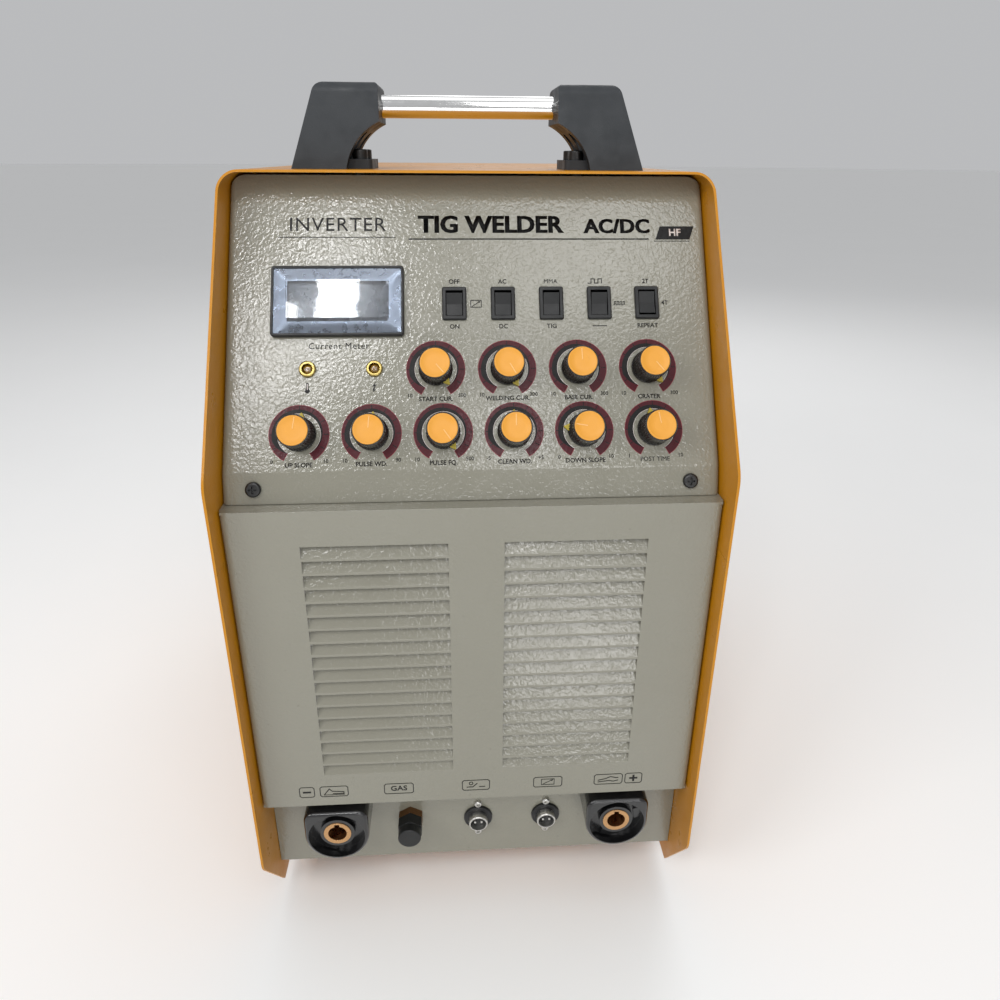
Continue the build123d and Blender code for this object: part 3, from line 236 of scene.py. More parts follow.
def plastic(name, colour, roughness, grain_mm, depth_mm, coat=0.0, wear_and_edge_highlight=0.25):
    s = Surface(name, colour, roughness, coat=coat)
    # Lighter towards the sharp edges: partly edge wear, partly a painted edge highlight.
    lighter = tuple(min(c * 2.2 + 0.02, 1) for c in colour)
    s.paint(lighter, s.times(s.edge_mask(0.5), wear_and_edge_highlight))
    s.paint(linear(120, 112, 100), s.limits(s.noise(7, 7), 0.66, 0.78, 0, 0.16))
    s.vary_roughness(s.noise(11, 4), roughness * 0.8, roughness * 1.3)
    s.round_edges(0.35)
    s.bump(s.noise(grain_mm, 2), depth_mm)
    return s.material


def bare_metal(name, colour, roughness, grain=(1, 1, 1), depth_mm=0.01, dirt=0.3):
    s = Surface(name, colour, roughness, metallic=1.0)
    darker = tuple(c * 0.45 for c in colour)
    s.paint(darker, s.limits(s.noise(6, 6), 0.58, 0.8, 0, dirt))
    s.vary_roughness(s.noise(4, 5), roughness * 0.75, roughness * 1.5)
    s.round_edges(0.3)
    s.bump(s.noise(0.9, 3, place=s.stretched(*grain)), depth_mm)
    return s.material


def rubber():
    s = Surface("rubber", linear(34, 33, 32), 0.75)
    s.paint(linear(96, 90, 82), s.limits(s.noise(8, 6), 0.5, 0.75, 0, 0.5))
    s.vary_roughness(s.noise(3, 4), 0.65, 0.9)
    s.round_edges(0.8)
    s.bump(s.noise(0.7, 3), 0.06)
    return s.material


def clear_window():
    s = Surface("clear_window", linear(226, 232, 240), 0.03, coat=0.4)
    s.shader.inputs["Transmission Weight"].default_value = 0.97
    s.shader.inputs["IOR"].default_value = 1.5
    s.paint(linear(235, 235, 235), s.limits(s.noise(2.2, 2), 0.76, 0.80, 0, 0.3))
    s.vary_roughness(s.noise(9, 5), 0.01, 0.06)
    s.bump(s.noise(16, 2), 0.05)
    return s.material


def circuit_board():
    s = Surface("circuit_board", linear(24, 92, 52), 0.35, coat=0.3)
    track = s.node("ShaderNodeTexBrick")
    s.link(s.place, track.inputs["Vector"])
    track.inputs["Scale"].default_value = 90
    track.inputs["Mortar Size"].default_value = 0.03
    s.paint(linear(120, 190, 120), s.times(track.outputs["Fac"], 0.6))
    s.vary_roughness(s.noise(6, 3), 0.28, 0.5)
    s.bump(track.outputs["Fac"], 0.08)
    return s.material


def core_iron():
    s = Surface("core_iron", linear(52, 40, 32), 0.4, metallic=0.4, coat=0.4)
    layers = s.noise(1.0, 1, place=s.stretched(0.02, 1.4, 0.02))
    s.paint(linear(140, 92, 50), s.times(layers, 0.7))
    s.vary_roughness(s.noise(5, 4), 0.3, 0.6)
    s.bump(layers, 0.2)
    return s.material


def lamp_lens():
    s = Surface("lamp_lens", linear(186, 140, 40), 0.15, coat=1.0)
    s.shader.inputs["Transmission Weight"].default_value = 0.5
    s.paint(linear(90, 60, 16), s.limits(s.noise(1.4, 3), 0.4, 0.7, 0, 0.8))
    s.vary_roughness(s.noise(2, 3), 0.1, 0.25)
    s.bump(s.noise(2, 2), 0.05)
    return s.material


def ink(name, colour, gloss=0.1):
    """Screen-printed ink, slightly uneven."""
    s = Surface(name, colour, 0.4, coat=gloss, specular=0.25)
    s.paint(linear(120, 114, 104), s.limits(s.noise(1.3, 5), 0.70, 0.82, 0, 0.3))
    s.vary_roughness(s.noise(3, 3), 0.32, 0.5)
    s.bump(s.noise(2.2, 1.2, distortion=0.5), 0.1)
    return s.material


def floor_material():
    s = Surface("studio_floor", linear(250, 250, 249), 0.6, specular=0.2)
    s.paint(linear(247, 247, 246), s.noise(400, 3))
    s.vary_roughness(s.noise(60, 3), 0.55, 0.7)
    return s.material


MATERIALS = {
    "yellow_paint": yellow_paint(),
    "grey_paint": grey_paint(),
    "zinc_steel": bare_metal("zinc_steel", (0.62, 0.61, 0.58), 0.32),
    "black_screw": bare_metal("black_screw", (0.06, 0.06, 0.06), 0.38),
    "rubber": rubber(),
    "bracket_plastic": plastic("bracket_plastic", linear(36, 40, 44), 0.5, 0.8, 0.05, wear_and_edge_highlight=0.4),
    "polished_tube": bare_metal("polished_tube", (0.86, 0.86, 0.85), 0.07, dirt=0.08, depth_mm=0.001),
    "black_plastic": plastic("black_plastic", linear(15, 16, 17), 0.42, 1.0, 0.02, wear_and_edge_highlight=0.5),
    "breaker_plastic": plastic("breaker_plastic", linear(206, 204, 196), 0.4, 0.9, 0.02),
    "lever_plastic": plastic("lever_plastic", linear(24, 24, 24), 0.35, 0.9, 0.02),
    "socket_plastic": plastic("socket_plastic", linear(20, 20, 21), 0.2, 2.0, 0.03, coat=0.5),
    "brass": bare_metal("brass", (0.62, 0.36, 0.17), 0.28, dirt=0.6),
    "clear_window": clear_window(),
    "display": plastic("display", linear(20, 16, 20), 0.25, 2.0, 0.01, coat=0.4),
    "lamp_lens": lamp_lens(),
    "knob_plastic": plastic("knob_plastic", linear(18, 15, 13), 0.25, 1.0, 0.02, coat=0.2, wear_and_edge_highlight=0.5),
    "potentiometer_metal": bare_metal("potentiometer_metal", (0.5, 0.49, 0.46), 0.4),
    "heatsink_aluminium": bare_metal("heatsink_aluminium", (0.74, 0.75, 0.76), 0.35, grain=(1, 0.05, 1)),
    "circuit_board": circuit_board(),
    "core_iron": core_iron(),
    "igniter_case": plastic("igniter_case", linear(40, 40, 42), 0.5, 1.4, 0.05),
}
KNOB_CAP = plastic("knob_cap", linear(222, 154, 50), 0.42, 0.8, 0.02, wear_and_edge_highlight=0.2)
KNOB_MARK = plastic("knob_mark", linear(238, 178, 110), 0.45, 0.8, 0.02)
KNOB_POINTER = plastic("knob_pointer", linear(176, 156, 40), 0.4, 0.8, 0.02)
LAMP_BRASS = bare_metal("lamp_brass", (0.42, 0.32, 0.11), 0.25, dirt=0.5)
DULL_BRASS = bare_metal("dull_brass", (0.23, 0.12, 0.055), 0.38, dirt=0.6)
SILVER = bare_metal("silver_mask", (0.36, 0.40, 0.47), 0.28, dirt=0.15)
INKS = [
    ink("ink_black", linear(16, 15, 15), gloss=0.0),
    ink("ink_maroon", linear(72, 8, 22)),
    ink("ink_pale", linear(206, 196, 190)),
    ink("ink_pink", linear(138, 48, 58)),
]
BLACK, MAROON, PALE, PINK = range(4)

for part in frame["record"]["subparts"]:
    node = NODES[part["node"]]
    node.data.materials.clear()
    node.data.materials.append(MATERIALS[part["material_slot"]])
NODES["lamp_bezels"].data.materials[0] = LAMP_BRASS
NODES["gas_outlet"].data.materials[0] = DULL_BRASS


def new_object(name, mesh, materials):
    """Turns a bmesh into an object of the scene and frees the bmesh."""
    data = bpy.data.meshes.new(name)
    mesh.to_mesh(data)
    mesh.free()
    for material in materials:
        data.materials.append(material)
    made = bpy.data.objects.new(name, data)
    bpy.context.scene.collection.objects.link(made)
    return made


# ---------------------------------------------------------------- printed markings
class Drawing:
    """Flat ink shapes in millimetres, each on its own place, that become one thin printed piece."""

    def __init__(self, name, slot):
        self.name = name
        self.slot = slot
        self.mesh = bmesh.new()

    def face(self, points, place, ink_index, lift_mm=0.0):
        lift = Vector((0, 0, lift_mm * MM))
        verts = [self.mesh.verts.new(place @ (Vector((x, y, 0)) * MM + lift)) for x, y in points]
        self.mesh.faces.new(verts).material_index = ink_index

    def band(self, inner, outer, place, ink_index, lift_mm=0.0, closed=False):
        """A strip between two rows of points."""
        lift = Vector((0, 0, lift_mm * MM))
        rows = []
        for row in (inner, outer):
            rows.append([self.mesh.verts.new(place @ (Vector((x, y, 0)) * MM + lift)) for x, y in row])
        count = len(inner)
        for i in range(count if closed else count - 1):
            j = (i + 1) % count
            quad = (rows[0][i], rows[1][i], rows[1][j], rows[0][j])
            self.mesh.faces.new(quad).material_index = ink_index

    def stroke(self, points, width, place, ink_index=BLACK, closed=False, lift_mm=0.0):
        """A line of one width with mitred corners."""
        count = len(points)
        left = []
        right = []
        for i, point in enumerate(points):
            here = Vector(point)
            before = Vector(points[i - 1]) if closed or i > 0 else None
            after = Vector(points[(i + 1) % count]) if closed or i < count - 1 else None
            going_in = (here - before).normalized() if before is not None else None
            going_out = (after - here).normalized() if after is not None else None
            going_in = going_in or going_out
            going_out = going_out or going_in
            along = (going_in + going_out).normalized()
            side = Vector((-along.y, along.x))
            reach = width / 2 / max(abs(side.dot(Vector((-going_in.y, going_in.x)))), 0.4)
            left.append(here + side * reach)
            right.append(here - side * reach)
        self.band(right, left, place, ink_index, lift_mm, closed)

    def text(self, words, size, place, bold=0.0, spread=1.0, ink_index=BLACK):
        curve = bpy.data.curves.new("words", "FONT")
        curve.body = words
        curve.size = size * MM
        curve.align_x = "CENTER"
        curve.space_character = spread
        curve.align_y = "CENTER"
        curve.offset = bold * MM
        curve.resolution_u = 3
        holder = bpy.data.objects.new("words", curve)
        bpy.context.scene.collection.objects.link(holder)
        bpy.context.view_layer.update()
        flat = bpy.data.meshes.new_from_object(holder)
        flat.transform(place)
        first = len(self.mesh.faces)
        self.mesh.from_mesh(flat)
        self.mesh.faces.ensure_lookup_table()
        for face in self.mesh.faces[first:]:
            face.material_index = ink_index
        bpy.data.objects.remove(holder)
        bpy.data.curves.remove(curve)
        bpy.data.meshes.remove(flat)

    def finish(self, thickness_mm=0.1):
        """Thickens the shapes towards the panel and hands the piece to the case."""
        bmesh.ops.recalc_face_normals(self.mesh, faces=self.mesh.faces)
        piece = new_object(self.name, self.mesh, INKS)
        thick = piece.modifiers.new("thick", "SOLIDIFY")
        thick.thickness = thickness_mm * MM
        thick.offset = 0
        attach(piece, "case")


def arc(radius, first_deg, last_deg, steps, centre=(0, 0)):
    """Points round a circle, with angles clockwise from the top."""
    points = []
    for i in range(steps + 1):
        angle = math.radians(first_deg + (last_deg - first_deg) * i / steps)
        points.append((centre[0] + radius * math.sin(angle), centre[1] + radius * math.cos(angle)))
    return points


SCALE_RADIUS = 17.8
SCALE_HALF_ANGLE = 150
SCALE_STEPS = 60
CAPTION_DROP = 18.4
CAPTION_SIZE = 3.8
NUMBER_SIZE = 3.3
LEGEND_SIZE = 3.9
LEGEND_ABOVE = 14.2
LEGEND_BELOW = -14.6
PRINT_LIFT = 0.1
NUMBER_DROP = 16.2
NUMBER_SIDE = 15.8


def dial_scale(drawing, name, first, last, caption):
    """The scale printed round a knob: a dark red band with divisions, and a black band inside."""
    place = panel_place(dial_centre(name))
    ends = (-SCALE_HALF_ANGLE, SCALE_HALF_ANGLE)
    outer = arc(SCALE_RADIUS, *ends, SCALE_STEPS)
    inner = arc(SCALE_RADIUS * 0.72, *ends, SCALE_STEPS)
    middle = []
    for i, point in enumerate(arc(1.0, *ends, SCALE_STEPS)):
        way = i / SCALE_STEPS
        swell = min(1, way / 0.15) * (1 - way ** 1.5)
        reach = SCALE_RADIUS * (0.722 + 0.2 * swell)
        middle.append((point[0] * reach, point[1] * reach))
    drawing.band(middle, outer, place, MAROON, 0.10)
    drawing.band(inner, middle, place, BLACK, 0.10)
    drawing.stroke(arc(SCALE_RADIUS, *ends, SCALE_STEPS), 0.25, place, PINK, lift_mm=0.13)
    drawing.stroke(arc(SCALE_RADIUS * 0.715, *ends, SCALE_STEPS), 0.25, place, PALE, lift_mm=0.13)
    for side in (0, -1):
        drawing.stroke([inner[side], outer[side]], 0.25, place, PINK, lift_mm=0.13)
    for i in range(11):
        angle = -SCALE_HALF_ANGLE + 30 * i
        tick = [arc(SCALE_RADIUS * reach, angle, angle, 1)[0] for reach in (0.82, 0.985)]
        if 0 < i < 10:
            drawing.stroke(tick, 0.45, place, BLACK, lift_mm=0.15)
    spot = Matrix.Translation((0, -CAPTION_DROP * MM, 0.0001))
    drawing.text(caption, CAPTION_SIZE, place @ spot, bold=0.0 if "M" in caption else 0.06)
    for side, words in ((-1, first), (1, last)):
        spot = Matrix.Translation((side * NUMBER_SIDE * MM, -NUMBER_DROP * MM, 0))
        drawing.text(words, NUMBER_SIZE, place @ spot, bold=0.05)


def panel_text(drawing, words, x_mm, up_mm, size, **settings):
    drawing.text(words, size, panel_place(on_panel(x_mm, up_mm), 0.1), **settings)


def remote_symbol(drawing, place, width, height):
    """A box with a rising arrow in it, for the remote control."""
    w = width / 2
    h = height / 2
    drawing.stroke([(-w, -h), (w, -h), (w, h), (-w, h)], 0.45, place, closed=True)
    drawing.stroke([(-w * 0.75, -h * 0.75), (w * 0.6, h * 0.55)], 0.4, place)
    drawing.face([(w * 0.85, h * 0.8), (w * 0.38, h * 0.66), (w * 0.66, h * 0.2)], place, BLACK)


def pulse_train(drawing, place, count, step, height, width):
    points = []
    for i in range(count):
        x = (i - count / 2) * step * 2
        points += [(x, 0), (x, height), (x + step, height), (x + step, 0)]
    points = [(points[0][0] - step, 0), *points]
    drawing.stroke(points, width, place)


METER_X = -81.5
LAMP_DROP = 11.0
ROCKER_DEPTH = 2.0


def thermometer(drawing, place):
    drawing.face(arc(1.5, 0, 345, 23, centre=(0, -2.2)), place, BLACK)
    drawing.stroke([(0, -1.4), (0, 2.6)], 1.4, place)
    drawing.stroke([(0, -1.6), (0, 2.0)], 0.45, place, PALE, lift_mm=0.04)


def lightning(drawing, place):
    drawing.face([(0.9, 3.0), (-1.3, 0.1), (0.1, 0.1), (-0.4, -1.0), (1.3, 0.9), (0.1, 0.9)], place, BLACK)
    lower = [(-0.4, -0.6), (0.5, -0.2), (-0.1, -1.6), (0.7, -1.7), (-0.7, -3.4), (-1.0, -1.4)]
    drawing.face(lower, place, BLACK)


def switch_legends(drawing, name, above, below):
    spot = Vector(JOINTS[name + "_rock"]["pos_m"]) + OUT * ROCKER_DEPTH * MM
    for words, rise in ((above, LEGEND_ABOVE), (below, LEGEND_BELOW)):
        if words:
            place = panel_place(spot + UP * rise * MM, 0.1)
            drawing.text(words, LEGEND_SIZE, place, bold=0.0 if "M" in words else 0.05)
    return spot


def control_panel_print():
    drawing = Drawing("control_panel_print", "knob_plastic")
    for name, first, last, caption in DIALS:
        dial_scale(drawing, name, first, last, caption)
    panel_text(drawing, "Current Meter", METER_X, 15.0, 5.4, spread=1.12)
    thermometer(drawing, panel_place(on_panel(-100, -LAMP_DROP + 0.8), PRINT_LIFT))
    lightning(drawing, panel_place(on_panel(-60, -LAMP_DROP + 0.8), PRINT_LIFT))
    legends = [("OFF", "ON"), ("AC", "DC"), ("MMA", "TIG"), ("", ""), ("2T", "REPEAT")]
    spots = []
    for name, (above, below) in zip(SWITCHES, legends):
        spots.append(switch_legends(drawing, name, above, below))
    beside = Vector((13.4 * MM, 0, 0))
    remote_symbol(drawing, panel_place(spots[0] + beside, 0.1), 6.5, 4.4)
    pulse_train(drawing, panel_place(spots[3] + UP * 13.0 * MM, 0.1), 2, 2.2, 2.8, 0.5)
    drawing.stroke([(-4.5, 0), (4.5, 0)], 0.5, panel_place(spots[3] + UP * LEGEND_BELOW * MM, PRINT_LIFT))
    pulse_train(drawing, panel_place(spots[3] + beside - UP * 1.2 * MM, 0.1), 4, 0.9, 2.2, 0.4)
    drawing.text("4T", 3.7, panel_place(spots[4] + Vector((11.6 * MM, 0, 0)), 0.1), bold=0.05)
    panel_text(drawing, "INVERTER", -83, 92.5, 12.5, spread=1.1)
    drawing.stroke([(-36, 0), (36, 0)], 0.5, panel_place(on_panel(-83, 84.6), 0.1))
    for step in (-0.35, 0, 0.35):
        panel_text(drawing, "TIG WELDER", 12.5 + step, 92.5, 15.5, bold=0.35, spread=1.02)
        panel_text(drawing, "AC/DC", 93 + step, 91.5, 13.0, bold=0.3, spread=1.05)
    drawing.stroke([(-76, 0), (76, 0)], 0.8, panel_place(on_panel(37, 83.4), 0.1))
    badge = panel_place(on_panel(130, 87.5), 0.1)
    drawing.face([(-12.6, -4.4), (9.4, -4.4), (12.6, 4.4), (-9.4, 4.4)], badge, BLACK)
    drawing.stroke([(-13.6, -5.5), (9.4, -5.5)], 0.4, badge)
    drawing.text("HF", 6.6, badge @ Matrix.Translation((0, 0, 0.00012)), bold=0.15, ink_index=PALE)
    drawing.finish()


def label_box(drawing, place, width, height):
    w = width / 2
    h = height / 2
    cut = 1.2
    points = [
        (-w + cut, -h), (w - cut, -h), (w, -h + cut), (w, h - cut),
        (w - cut, h), (-w + cut, h), (-w, h - cut), (-w, -h + cut),
    ]
    drawing.stroke(points, 0.5, place, closed=True)


LABEL_Z = 0.131
LABEL_HEIGHT = 9.0


def front_panel_print():
    """The boxed signs over the sockets."""
    drawing = Drawing("louvre_panel_print", "knob_plastic")

    def sign(x_mm, width):
        place = front_place(x_mm * MM, LABEL_Z, 0.1)
        label_box(drawing, place, width, LABEL_HEIGHT)
        return place

    minus = sign(-118, 10)
    drawing.stroke([(-2.8, 0), (2.8, 0)], 1.4, minus)
    torch = sign(-99.5, 19)
    drawing.stroke([(-7, -3), (-3.2, 2.4), (-1.4, 0.2), (6.6, -0.6), (6.6, -2.2), (-1.0, -2.0)], 0.6, torch)
    drawing.stroke([(-7.2, -3), (7.2, -3)], 0.4, torch)
    gas = sign(-55, 20)
    drawing.text("GAS", 6.2, gas, bold=0.08)
    trigger = sign(-1.5, 19)
    drawing.stroke([(-6.5, -1.6), (-2.2, -1.6), (1.0, 1.6)], 0.6, trigger)
    drawing.stroke([(2.2, -1.6), (6.5, -1.6)], 0.6, trigger)
    drawing.stroke(arc(1.3, 0, 330, 11, centre=(-3.4, 1.6)), 0.5, trigger, closed=True)
    pedal = sign(49, 20)
    remote_symbol(drawing, pedal, 9, 5)
    holder = sign(92, 20)
    drawing.stroke([(-7.4, -0.8), (-1.6, 0.6), (1.4, 2.2), (5.4, 1.0), (7.2, 1.0)], 0.6, holder)
    drawing.stroke([(-7.4, -2.4), (0.6, -1.4), (3.6, -2.2), (7.2, -1.2)], 0.6, holder)
    plus = sign(110, 12)
    drawing.stroke([(-2.9, 0), (2.9, 0)], 1.4, plus)
    drawing.stroke([(0, -2.9), (0, 2.9)], 1.4, plus, lift_mm=0.02)
    drawing.finish()


BACK_FACE_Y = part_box("rear_panel")[1].y
NOTICE_RISE = 84      # above the fan's middle, in millimetres


def back_place(x, z):
    """A place for a drawing on the rear panel, seen from behind."""
    turn = Matrix(((-1, 0, 0), (0, 0, 1), (0, 1, 0))).to_4x4()
    return Matrix.Translation((x, BACK_FACE_Y + 0.1 * MM, z)) @ turn


def middle_of(node):
    low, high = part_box(node)
    return (low + high) / 2


def earth_mark(drawing, place, size):
    """The protective earth sign: a ring round a stem and three bars."""
    drawing.stroke(arc(size, 0, 354, 40), 0.55, place, closed=True)
    drawing.stroke([(0, size * 0.7), (0, -size * 0.02)], 0.55, place)
    for step, half in enumerate((0.58, 0.38, 0.18)):
        y = -size * (0.02 + 0.24 * step)
        drawing.stroke([(-size * half, y), (size * half, y)], 0.55, place, lift_mm=0.02)


def rear_panel_print():
    """Plain marks beside the breaker, the fan, the gas inlet, the earth stud and the mains gland."""
    drawing = Drawing("rear_panel_print", "knob_plastic")
    breaker = middle_of("breaker_body")
    drawing.text("POWER", 7.0, back_place(breaker.x, breaker.z + 50 * MM), bold=0.1)
    drawing.text("ON", 5.0, back_place(breaker.x - 27 * MM, breaker.z + 13 * MM), bold=0.06)
    drawing.text("OFF", 5.0, back_place(breaker.x - 27 * MM, breaker.z - 13 * MM), bold=0.06)
    inlet = middle_of("gas_inlet")
    drawing.text("GAS IN", 6.0, back_place(inlet.x, inlet.z + 22 * MM), bold=0.08)
    gland = middle_of("cable_gland")
    drawing.text("AC INPUT", 6.0, back_place(gland.x, gland.z + 27 * MM), bold=0.08)
    stud = middle_of("earth_stud")
    earth_mark(drawing, back_place(stud.x, stud.z + 17 * MM), 5.5)
    fan = middle_of("fan_guard")
    notice = back_place(fan.x, fan.z + NOTICE_RISE * MM)
    drawing.text("KEEP AIR OPENINGS CLEAR", 5.0, notice, spread=1.1)
    drawing.finish()


# ---------------------------------------------------------------- knobs
KNOB_SERRATIONS = 36
KNOB_GAP = 0.6
KNOB_TOP = 18.2
CAP_TOP = 18.5
CAP_RADIUS = 8.8
POINTER_TIP = 12.9
SPINDLE_RADIUS = 2.9


def ring_of(mesh, radius, height, count, ripple=0.0):
    verts = []
    for i in range(count):
        angle = math.tau * i / count
        reach = (radius - (ripple if i % 4 in (0, 3) else 0.0)) * MM
        verts.append(mesh.verts.new((reach * math.sin(angle), reach * math.cos(angle), height * MM)))
    return verts


def join_rings(mesh, rings, material_index):
    count = len(rings[0])
    for low, high in zip(rings, rings[1:]):
        for i in range(count):
            j = (i + 1) % count
            face = mesh.faces.new((low[i], low[j], high[j], high[i]))
            face.material_index = material_index
            face.smooth = True


def cap_ring(mesh, ring, material_index, upward=True):
    face = mesh.faces.new(ring if not upward else ring[::-1])
    face.material_index = material_index


def knob_piece(name):
    """A ribbed knob with a skirt, a let-in cap with its index line, and a pointer on the skirt.

    Its underside has no pocket for the potentiometer's bush, so the two overlap out of sight.
    """
    low, high = JOINTS[name + "_turn"]["range_deg"]
    pointer = math.radians((low + high) / 2)
    mesh = bmesh.new()
    count = KNOB_SERRATIONS * 4
    profile = [
        (SPINDLE_RADIUS, -10, 0), (SPINDLE_RADIUS, KNOB_GAP + 1.2, 0), (8.6, KNOB_GAP + 1.2, 0),
        (8.8, KNOB_GAP, 0), (10.1, KNOB_GAP, 0), (10.3, KNOB_GAP + 0.25, 0), (10.3, KNOB_GAP + 1.7, 0),
        (10.05, KNOB_GAP + 2.0, 0), (9.98, KNOB_GAP + 2.1, 0.4), (9.66, KNOB_TOP - 0.6, 0.4),
        (9.58, KNOB_TOP - 0.2, 0), (9.42, KNOB_TOP, 0), (CAP_RADIUS + 0.06, KNOB_TOP, 0),
        (CAP_RADIUS + 0.06, KNOB_TOP - 0.5, 0),
    ]
    rings = [ring_of(mesh, r, z, count, ripple) for r, z, ripple in profile]
    join_rings(mesh, rings, 0)
    cap_ring(mesh, rings[0], 0, upward=False)
    cap_ring(mesh, rings[-1], 0)
    cap_profile = [
        (CAP_RADIUS, KNOB_TOP - 0.45), (CAP_RADIUS, CAP_TOP - 0.35), (CAP_RADIUS - 0.12, CAP_TOP - 0.1),
        (CAP_RADIUS - 0.35, CAP_TOP), (CAP_RADIUS - 0.75, CAP_TOP), (CAP_RADIUS - 0.95, CAP_TOP - 0.16),
        (4.0, CAP_TOP - 0.2), (0.8, CAP_TOP - 0.2),
    ]
    cap_rings = [ring_of(mesh, r, z, count) for r, z in cap_profile]
    join_rings(mesh, cap_rings, 1)
    cap_ring(mesh, cap_rings[0], 1, upward=False)
    cap_ring(mesh, cap_rings[-1], 1)
    add_prism(mesh, [(-0.28, 1.0), (0.28, 1.0), (0.28, 7.8), (-0.28, 7.8)], CAP_TOP - 0.3, CAP_TOP - 0.1, 2)
    add_prism(mesh, [(-2.3, 9.5), (2.3, 9.5), (0.25, POINTER_TIP), (-0.25, POINTER_TIP)],
              KNOB_GAP + 0.1, KNOB_GAP + 2.2, 3)
    turn = Matrix.Rotation(-pointer, 4, "Z")
    mesh.transform(panel_place(dial_centre(name)) @ turn)
    bmesh.ops.recalc_face_normals(mesh, faces=mesh.faces)
    materials = (MATERIALS["knob_plastic"], KNOB_CAP, KNOB_MARK, KNOB_POINTER)
    piece = new_object("dial_" + name, mesh, materials)
    node = "knob_" + name
    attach(piece, node)
    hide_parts(node)


def add_prism(mesh, points, low, high, material_index):
    """A closed prism over an outline given anticlockwise in millimetres."""
    bottom = [mesh.verts.new((x * MM, y * MM, low * MM)) for x, y in points]
    top = [mesh.verts.new((x * MM, y * MM, high * MM)) for x, y in points]
    faces = [mesh.faces.new(bottom[::-1]), mesh.faces.new(top)]
    for i in range(len(points)):
        j = (i + 1) % len(points)
        faces.append(mesh.faces.new((bottom[i], bottom[j], top[j], top[i])))
    for face in faces:
        face.material_index = material_index


# ---------------------------------------------------------------- meter
MASK_HALF = (38.3, 20.3)
MASK_HOLE = (30.2, 12.2)
MASK_THICK = 0.1


def meter_mask():
    """The silvered frame behind the slopes of the meter's clear window."""
    corners = [vertex.co for vertex in NODES["meter_window"].data.vertices]
    back = min(corners, key=lambda point: point.dot(OUT)).dot(OUT)
    low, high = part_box("meter_window")
    centre = (low + high) / 2
    centre += OUT * (back - centre.dot(OUT))
    mesh = bmesh.new()
    rows = []
    for (w, h), z in ((MASK_HOLE, 0), (MASK_HALF, 0), (MASK_HALF, MASK_THICK), (MASK_HOLE, MASK_THICK)):
        points = ((-w, -h), (w, -h), (w, h), (-w, h))
        rows.append([mesh.verts.new((x * MM, y * MM, (z + 0.02) * MM)) for x, y in points])
    for near, far in zip(rows, rows[1:] + rows[:1]):
        for i in range(4):
            j = (i + 1) % 4
            mesh.faces.new((near[i], near[j], far[j], far[i]))
    bmesh.ops.recalc_face_normals(mesh, faces=mesh.faces)
    mesh.transform(panel_place(centre))
    piece = new_object("meter_mask", mesh, [SILVER])
    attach(piece, "case")


# ---------------------------------------------------------------- socket pins
PIN_SIDE = 2.4
PIN_RISE = 1.0
PIN_RADIUS = 0.98
PIN_ROOT = 3.0
PIN_TIP = 7.0


def socket_pins():
    """The bright round-ended pins in the two control sockets."""
    low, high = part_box("control_socket_rings")
    ring_radius = (high.z - low.z) / 2
    middle_z = (low.z + high.z) / 2
    mesh = bmesh.new()
    for centre_x in (low.x + ring_radius, high.x - ring_radius):
        for side in (-PIN_SIDE, PIN_SIDE):
            spot = Vector((centre_x + side * MM, high.y, middle_z + PIN_RISE * MM))
            place = Matrix.Translation(spot) @ Matrix.Rotation(math.radians(90), 4, "X")
            profile = [(PIN_RADIUS, PIN_ROOT), (PIN_RADIUS, PIN_TIP - 0.8)]
            profile += [(PIN_RADIUS * 0.85, PIN_TIP - 0.35), (PIN_RADIUS * 0.5, PIN_TIP - 0.08)]
            rings = [ring_of(mesh, radius, height, 20) for radius, height in profile]
            join_rings(mesh, rings, 0)
            cap_ring(mesh, rings[0], 0, upward=False)
            cap_ring(mesh, rings[-1], 0)
            for ring in rings:
                bmesh.ops.transform(mesh, matrix=place, verts=ring)
    bmesh.ops.recalc_face_normals(mesh, faces=mesh.faces)
    piece = new_object("control_socket_pins", mesh, [MATERIALS["zinc_steel"]])
    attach(piece, "case")


# ---------------------------------------------------------------- stage
FLOOR_RADIUS = 40
WORLD_STRENGTH = 0.52


def make_floor():
    mesh = bmesh.new()
    bmesh.ops.create_circle(mesh, cap_ends=True, segments=96, radius=FLOOR_RADIUS)
    floor = new_object("studio_floor", mesh, [floor_material()])
    floor.location.z = FLOOR_Z


def soft_light(name, place, aim, width, height, watts):
    data = bpy.data.lights.new(name, "AREA")
    data.shape = "RECTANGLE"
    data.size = width
    data.size_y = height
    data.energy = watts
    light = bpy.data.objects.new(name, data)
    light.location = place
    light.rotation_euler = (Vector(aim) - Vector(place)).to_track_quat("-Z", "Y").to_euler()
    bpy.context.scene.collection.objects.link(light)


MIDDLE = (0, -0.15, 0.35)
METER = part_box("meter_window")[0]
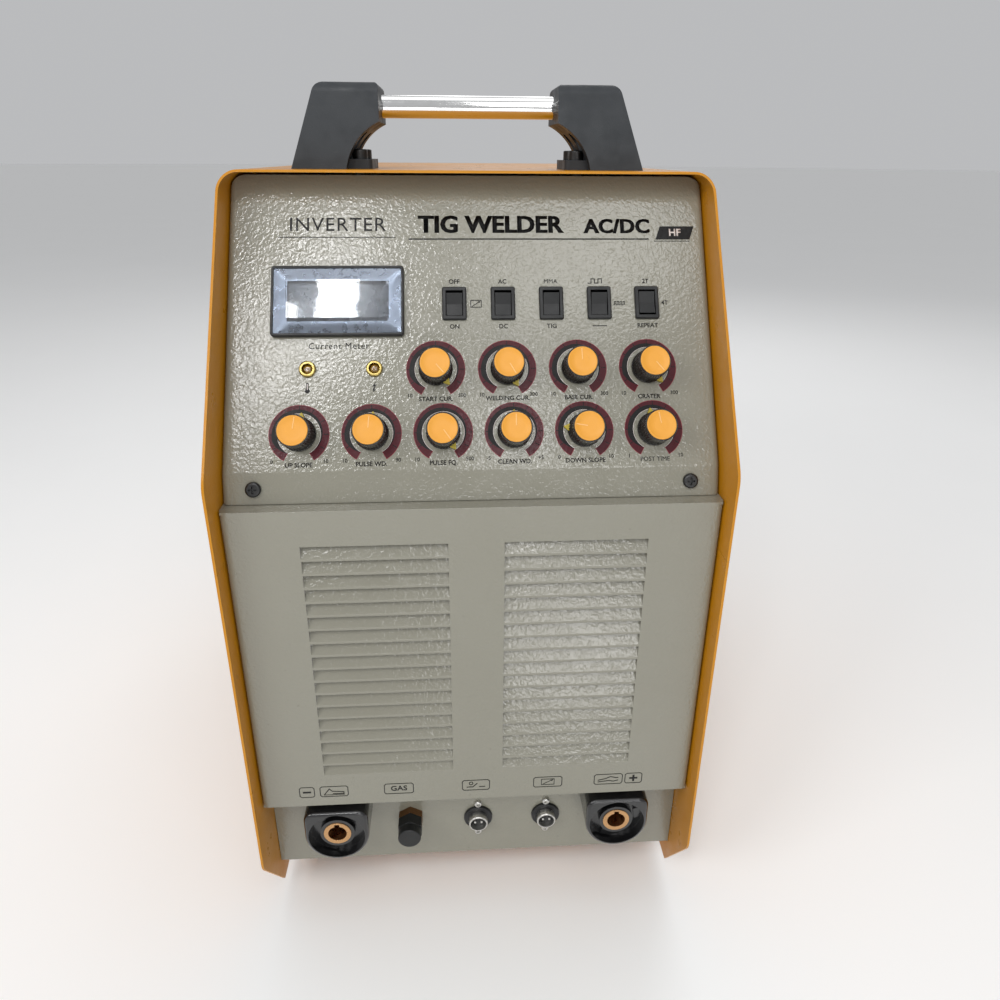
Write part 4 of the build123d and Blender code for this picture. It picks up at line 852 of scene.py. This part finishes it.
# light, place, aim, width, height, watts
LIGHTS = [
    ("key_light", (-1.5, -1.3, 1.5), MIDDLE, 0.8, 0.8, 12),
    ("low_light", (0.15, -1.5, 0.2), (0.02, -0.25, 0.05), 0.8, 0.16, 1.8),
    ("window_light", (-0.33, -1.22, 1.65), METER, 0.11, 0.42, 3),
    ("left_light", (-0.54, -1.35, 1.45), (-0.13, -0.2, 0.42), 0.12, 0.42, 2.2),
    ("dial_light", (0.15, -1.5, 1.36), (0.02, -0.22, 0.38), 0.2, 0.2, 1.2),
    ("sky_light", (0.33, -1.15, 1.72), (0.07, -0.17, 0.48), 0.6, 0.36, 2.3),
    ("louvre_light", (0.4, -2.1, 1.15), MIDDLE, 0.6, 0.4, 3.6),
    ("back_light", (0.6, 1.6, 1.7), MIDDLE, 1.6, 1.0, 10),
    ("top_light", (0, -0.1, 2.3), MIDDLE, 1.4, 1.4, 5),
]


def make_lights():
    for light in LIGHTS:
        soft_light(*light)
    world = bpy.data.worlds.new("studio")
    world.use_nodes = True
    backdrop = world.node_tree.nodes["Background"]
    backdrop.inputs["Color"].default_value = (0.95, 0.96, 0.98, 1)
    backdrop.inputs["Strength"].default_value = WORLD_STRENGTH
    bpy.context.scene.world = world


CAMERA_PLACE = (-0.010, -0.6208, 0.5423)
CAMERA_TURN_DEG = (68.82, -0.37, -3.47)
CAMERA_LENS = 25.6
CAMERA_SHIFT = -0.07


def make_camera():
    data = bpy.data.cameras.new("camera")
    data.lens = CAMERA_LENS
    data.sensor_width = 36
    data.shift_y = CAMERA_SHIFT
    data.clip_start = 0.01
    camera = bpy.data.objects.new("camera", data)
    camera.location = CAMERA_PLACE
    camera.rotation_euler = [math.radians(angle) for angle in CAMERA_TURN_DEG]
    bpy.context.scene.collection.objects.link(camera)
    bpy.context.scene.camera = camera


make_camera()
make_floor()
make_lights()
bpy.context.scene.view_settings.view_transform = "Standard"
control_panel_print()
front_panel_print()
rear_panel_print()
meter_mask()
socket_pins()
for dial, _, _, _ in DIALS:
    knob_piece(dial)
